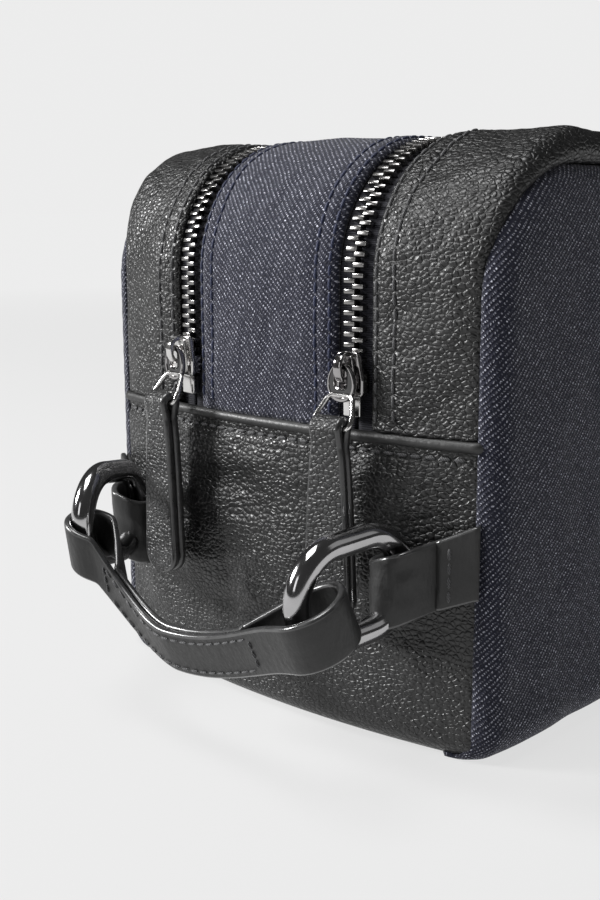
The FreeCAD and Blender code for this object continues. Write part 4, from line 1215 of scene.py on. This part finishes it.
# ---------------- stage, lights and camera
AMBIENT = 0.05
BACKDROP = 0.842
FLOOR_GLOW = 0.69              # by the bag; it rises to the backdrop's with distance
WIDE = 40
floor_paint = Paint("studio floor", Roughness=0.95, Specular_IOR_Level=0.05,
                    Emission_Color=(1, 1, 1, 1), Emission_Strength=FLOOR_GLOW)
away = floor_paint.add("ShaderNodeVectorMath", {0: floor_paint.place()}, operation="LENGTH")
far = floor_paint.ramp(away.outputs["Value"], 0.45, 1.6)
floor_paint.wire(floor_paint.mix(far, (0.11, 0.11, 0.11), (0.0, 0.0, 0.0)), "Base Color")
floor_paint.wire(floor_paint.mix(far, (1.0, 1.0, 1.0), (BACKDROP / FLOOR_GLOW,) * 3),
                 "Emission Color")
mesh = bpy.data.meshes.new("floor")
mesh.from_pydata([(-WIDE, -WIDE, 0), (WIDE, -WIDE, 0), (WIDE, WIDE, 0), (-WIDE, WIDE, 0)], [],
                 [(0, 1, 2, 3)])
mesh.materials.append(floor_paint.material)
add_object("floor", mesh)

world = bpy.data.worlds.new("studio")
world.use_nodes = True
sky = world.node_tree.nodes["Background"]
sky.inputs["Color"].default_value = (1, 1, 1, 1)
sky.inputs["Strength"].default_value = AMBIENT
nodes, links = world.node_tree.nodes, world.node_tree.links
backdrop = nodes.new("ShaderNodeBackground")
backdrop.inputs["Color"].default_value = (BACKDROP, BACKDROP, BACKDROP, 1)
choose = nodes.new("ShaderNodeMixShader")
for k, output in enumerate((nodes.new("ShaderNodeLightPath").outputs["Is Camera Ray"],
                            sky.outputs[0], backdrop.outputs[0])):
    links.new(output, choose.inputs[k])
links.new(choose.outputs[0], nodes["World Output"].inputs[0])
bpy.context.scene.world = world


def light(name, energy, place, target, size):
    data = bpy.data.lights.new(name, "AREA")
    data.energy = energy
    data.shape = "RECTANGLE"
    data.size, data.size_y = size
    obj = add_object(name, data)
    obj.location = place
    obj.rotation_euler = (Vector(target) - Vector(place)).to_track_quat("-Z", "Y").to_euler()


light("key", 32.0, (-1.05, -1.0, 0.72), (0, -0.1, 0.07), (0.34, 0.42))
light("front", 0.8, (0.1, -1.3, 0.5), (0.0, -0.1, 0.05), (0.3, 0.5))
light("rim", 0.4, (1.0, 0.5, 0.8), (0.03, 0.0, 0.08), (0.5, 0.7))
light("overhead", 7.0, (-0.15, -0.35, 1.0), (0, -0.05, 0.1), (0.6, 0.35))

YAW, PITCH, ROLL = (math.radians(a) for a in (42.888, 11.255, -0.284))
CAMERA_AT = Vector((0.194891, -0.330316, 0.118348))
SENSOR, LENS = 36.0, 48.3356   # mm; the picture is upright, so the sensor's size is its height
forward = Vector((-math.sin(YAW) * math.cos(PITCH), math.cos(YAW) * math.cos(PITCH),
                  -math.sin(PITCH)))
right = Vector((math.cos(YAW), math.sin(YAW), 0))
upward = right.cross(forward)
right, upward = (right * math.cos(ROLL) + upward * math.sin(ROLL),
                 upward * math.cos(ROLL) - right * math.sin(ROLL))
camera_data = bpy.data.cameras.new("camera")
camera_data.sensor_width = SENSOR
camera_data.lens = LENS
camera = add_object("camera", camera_data)
axes = Matrix((right, upward, -forward)).transposed().to_4x4()
camera.matrix_world = Matrix.Translation(CAMERA_AT) @ axes
bpy.context.scene.camera = camera
bpy.context.scene.view_settings.view_transform = "Standard"
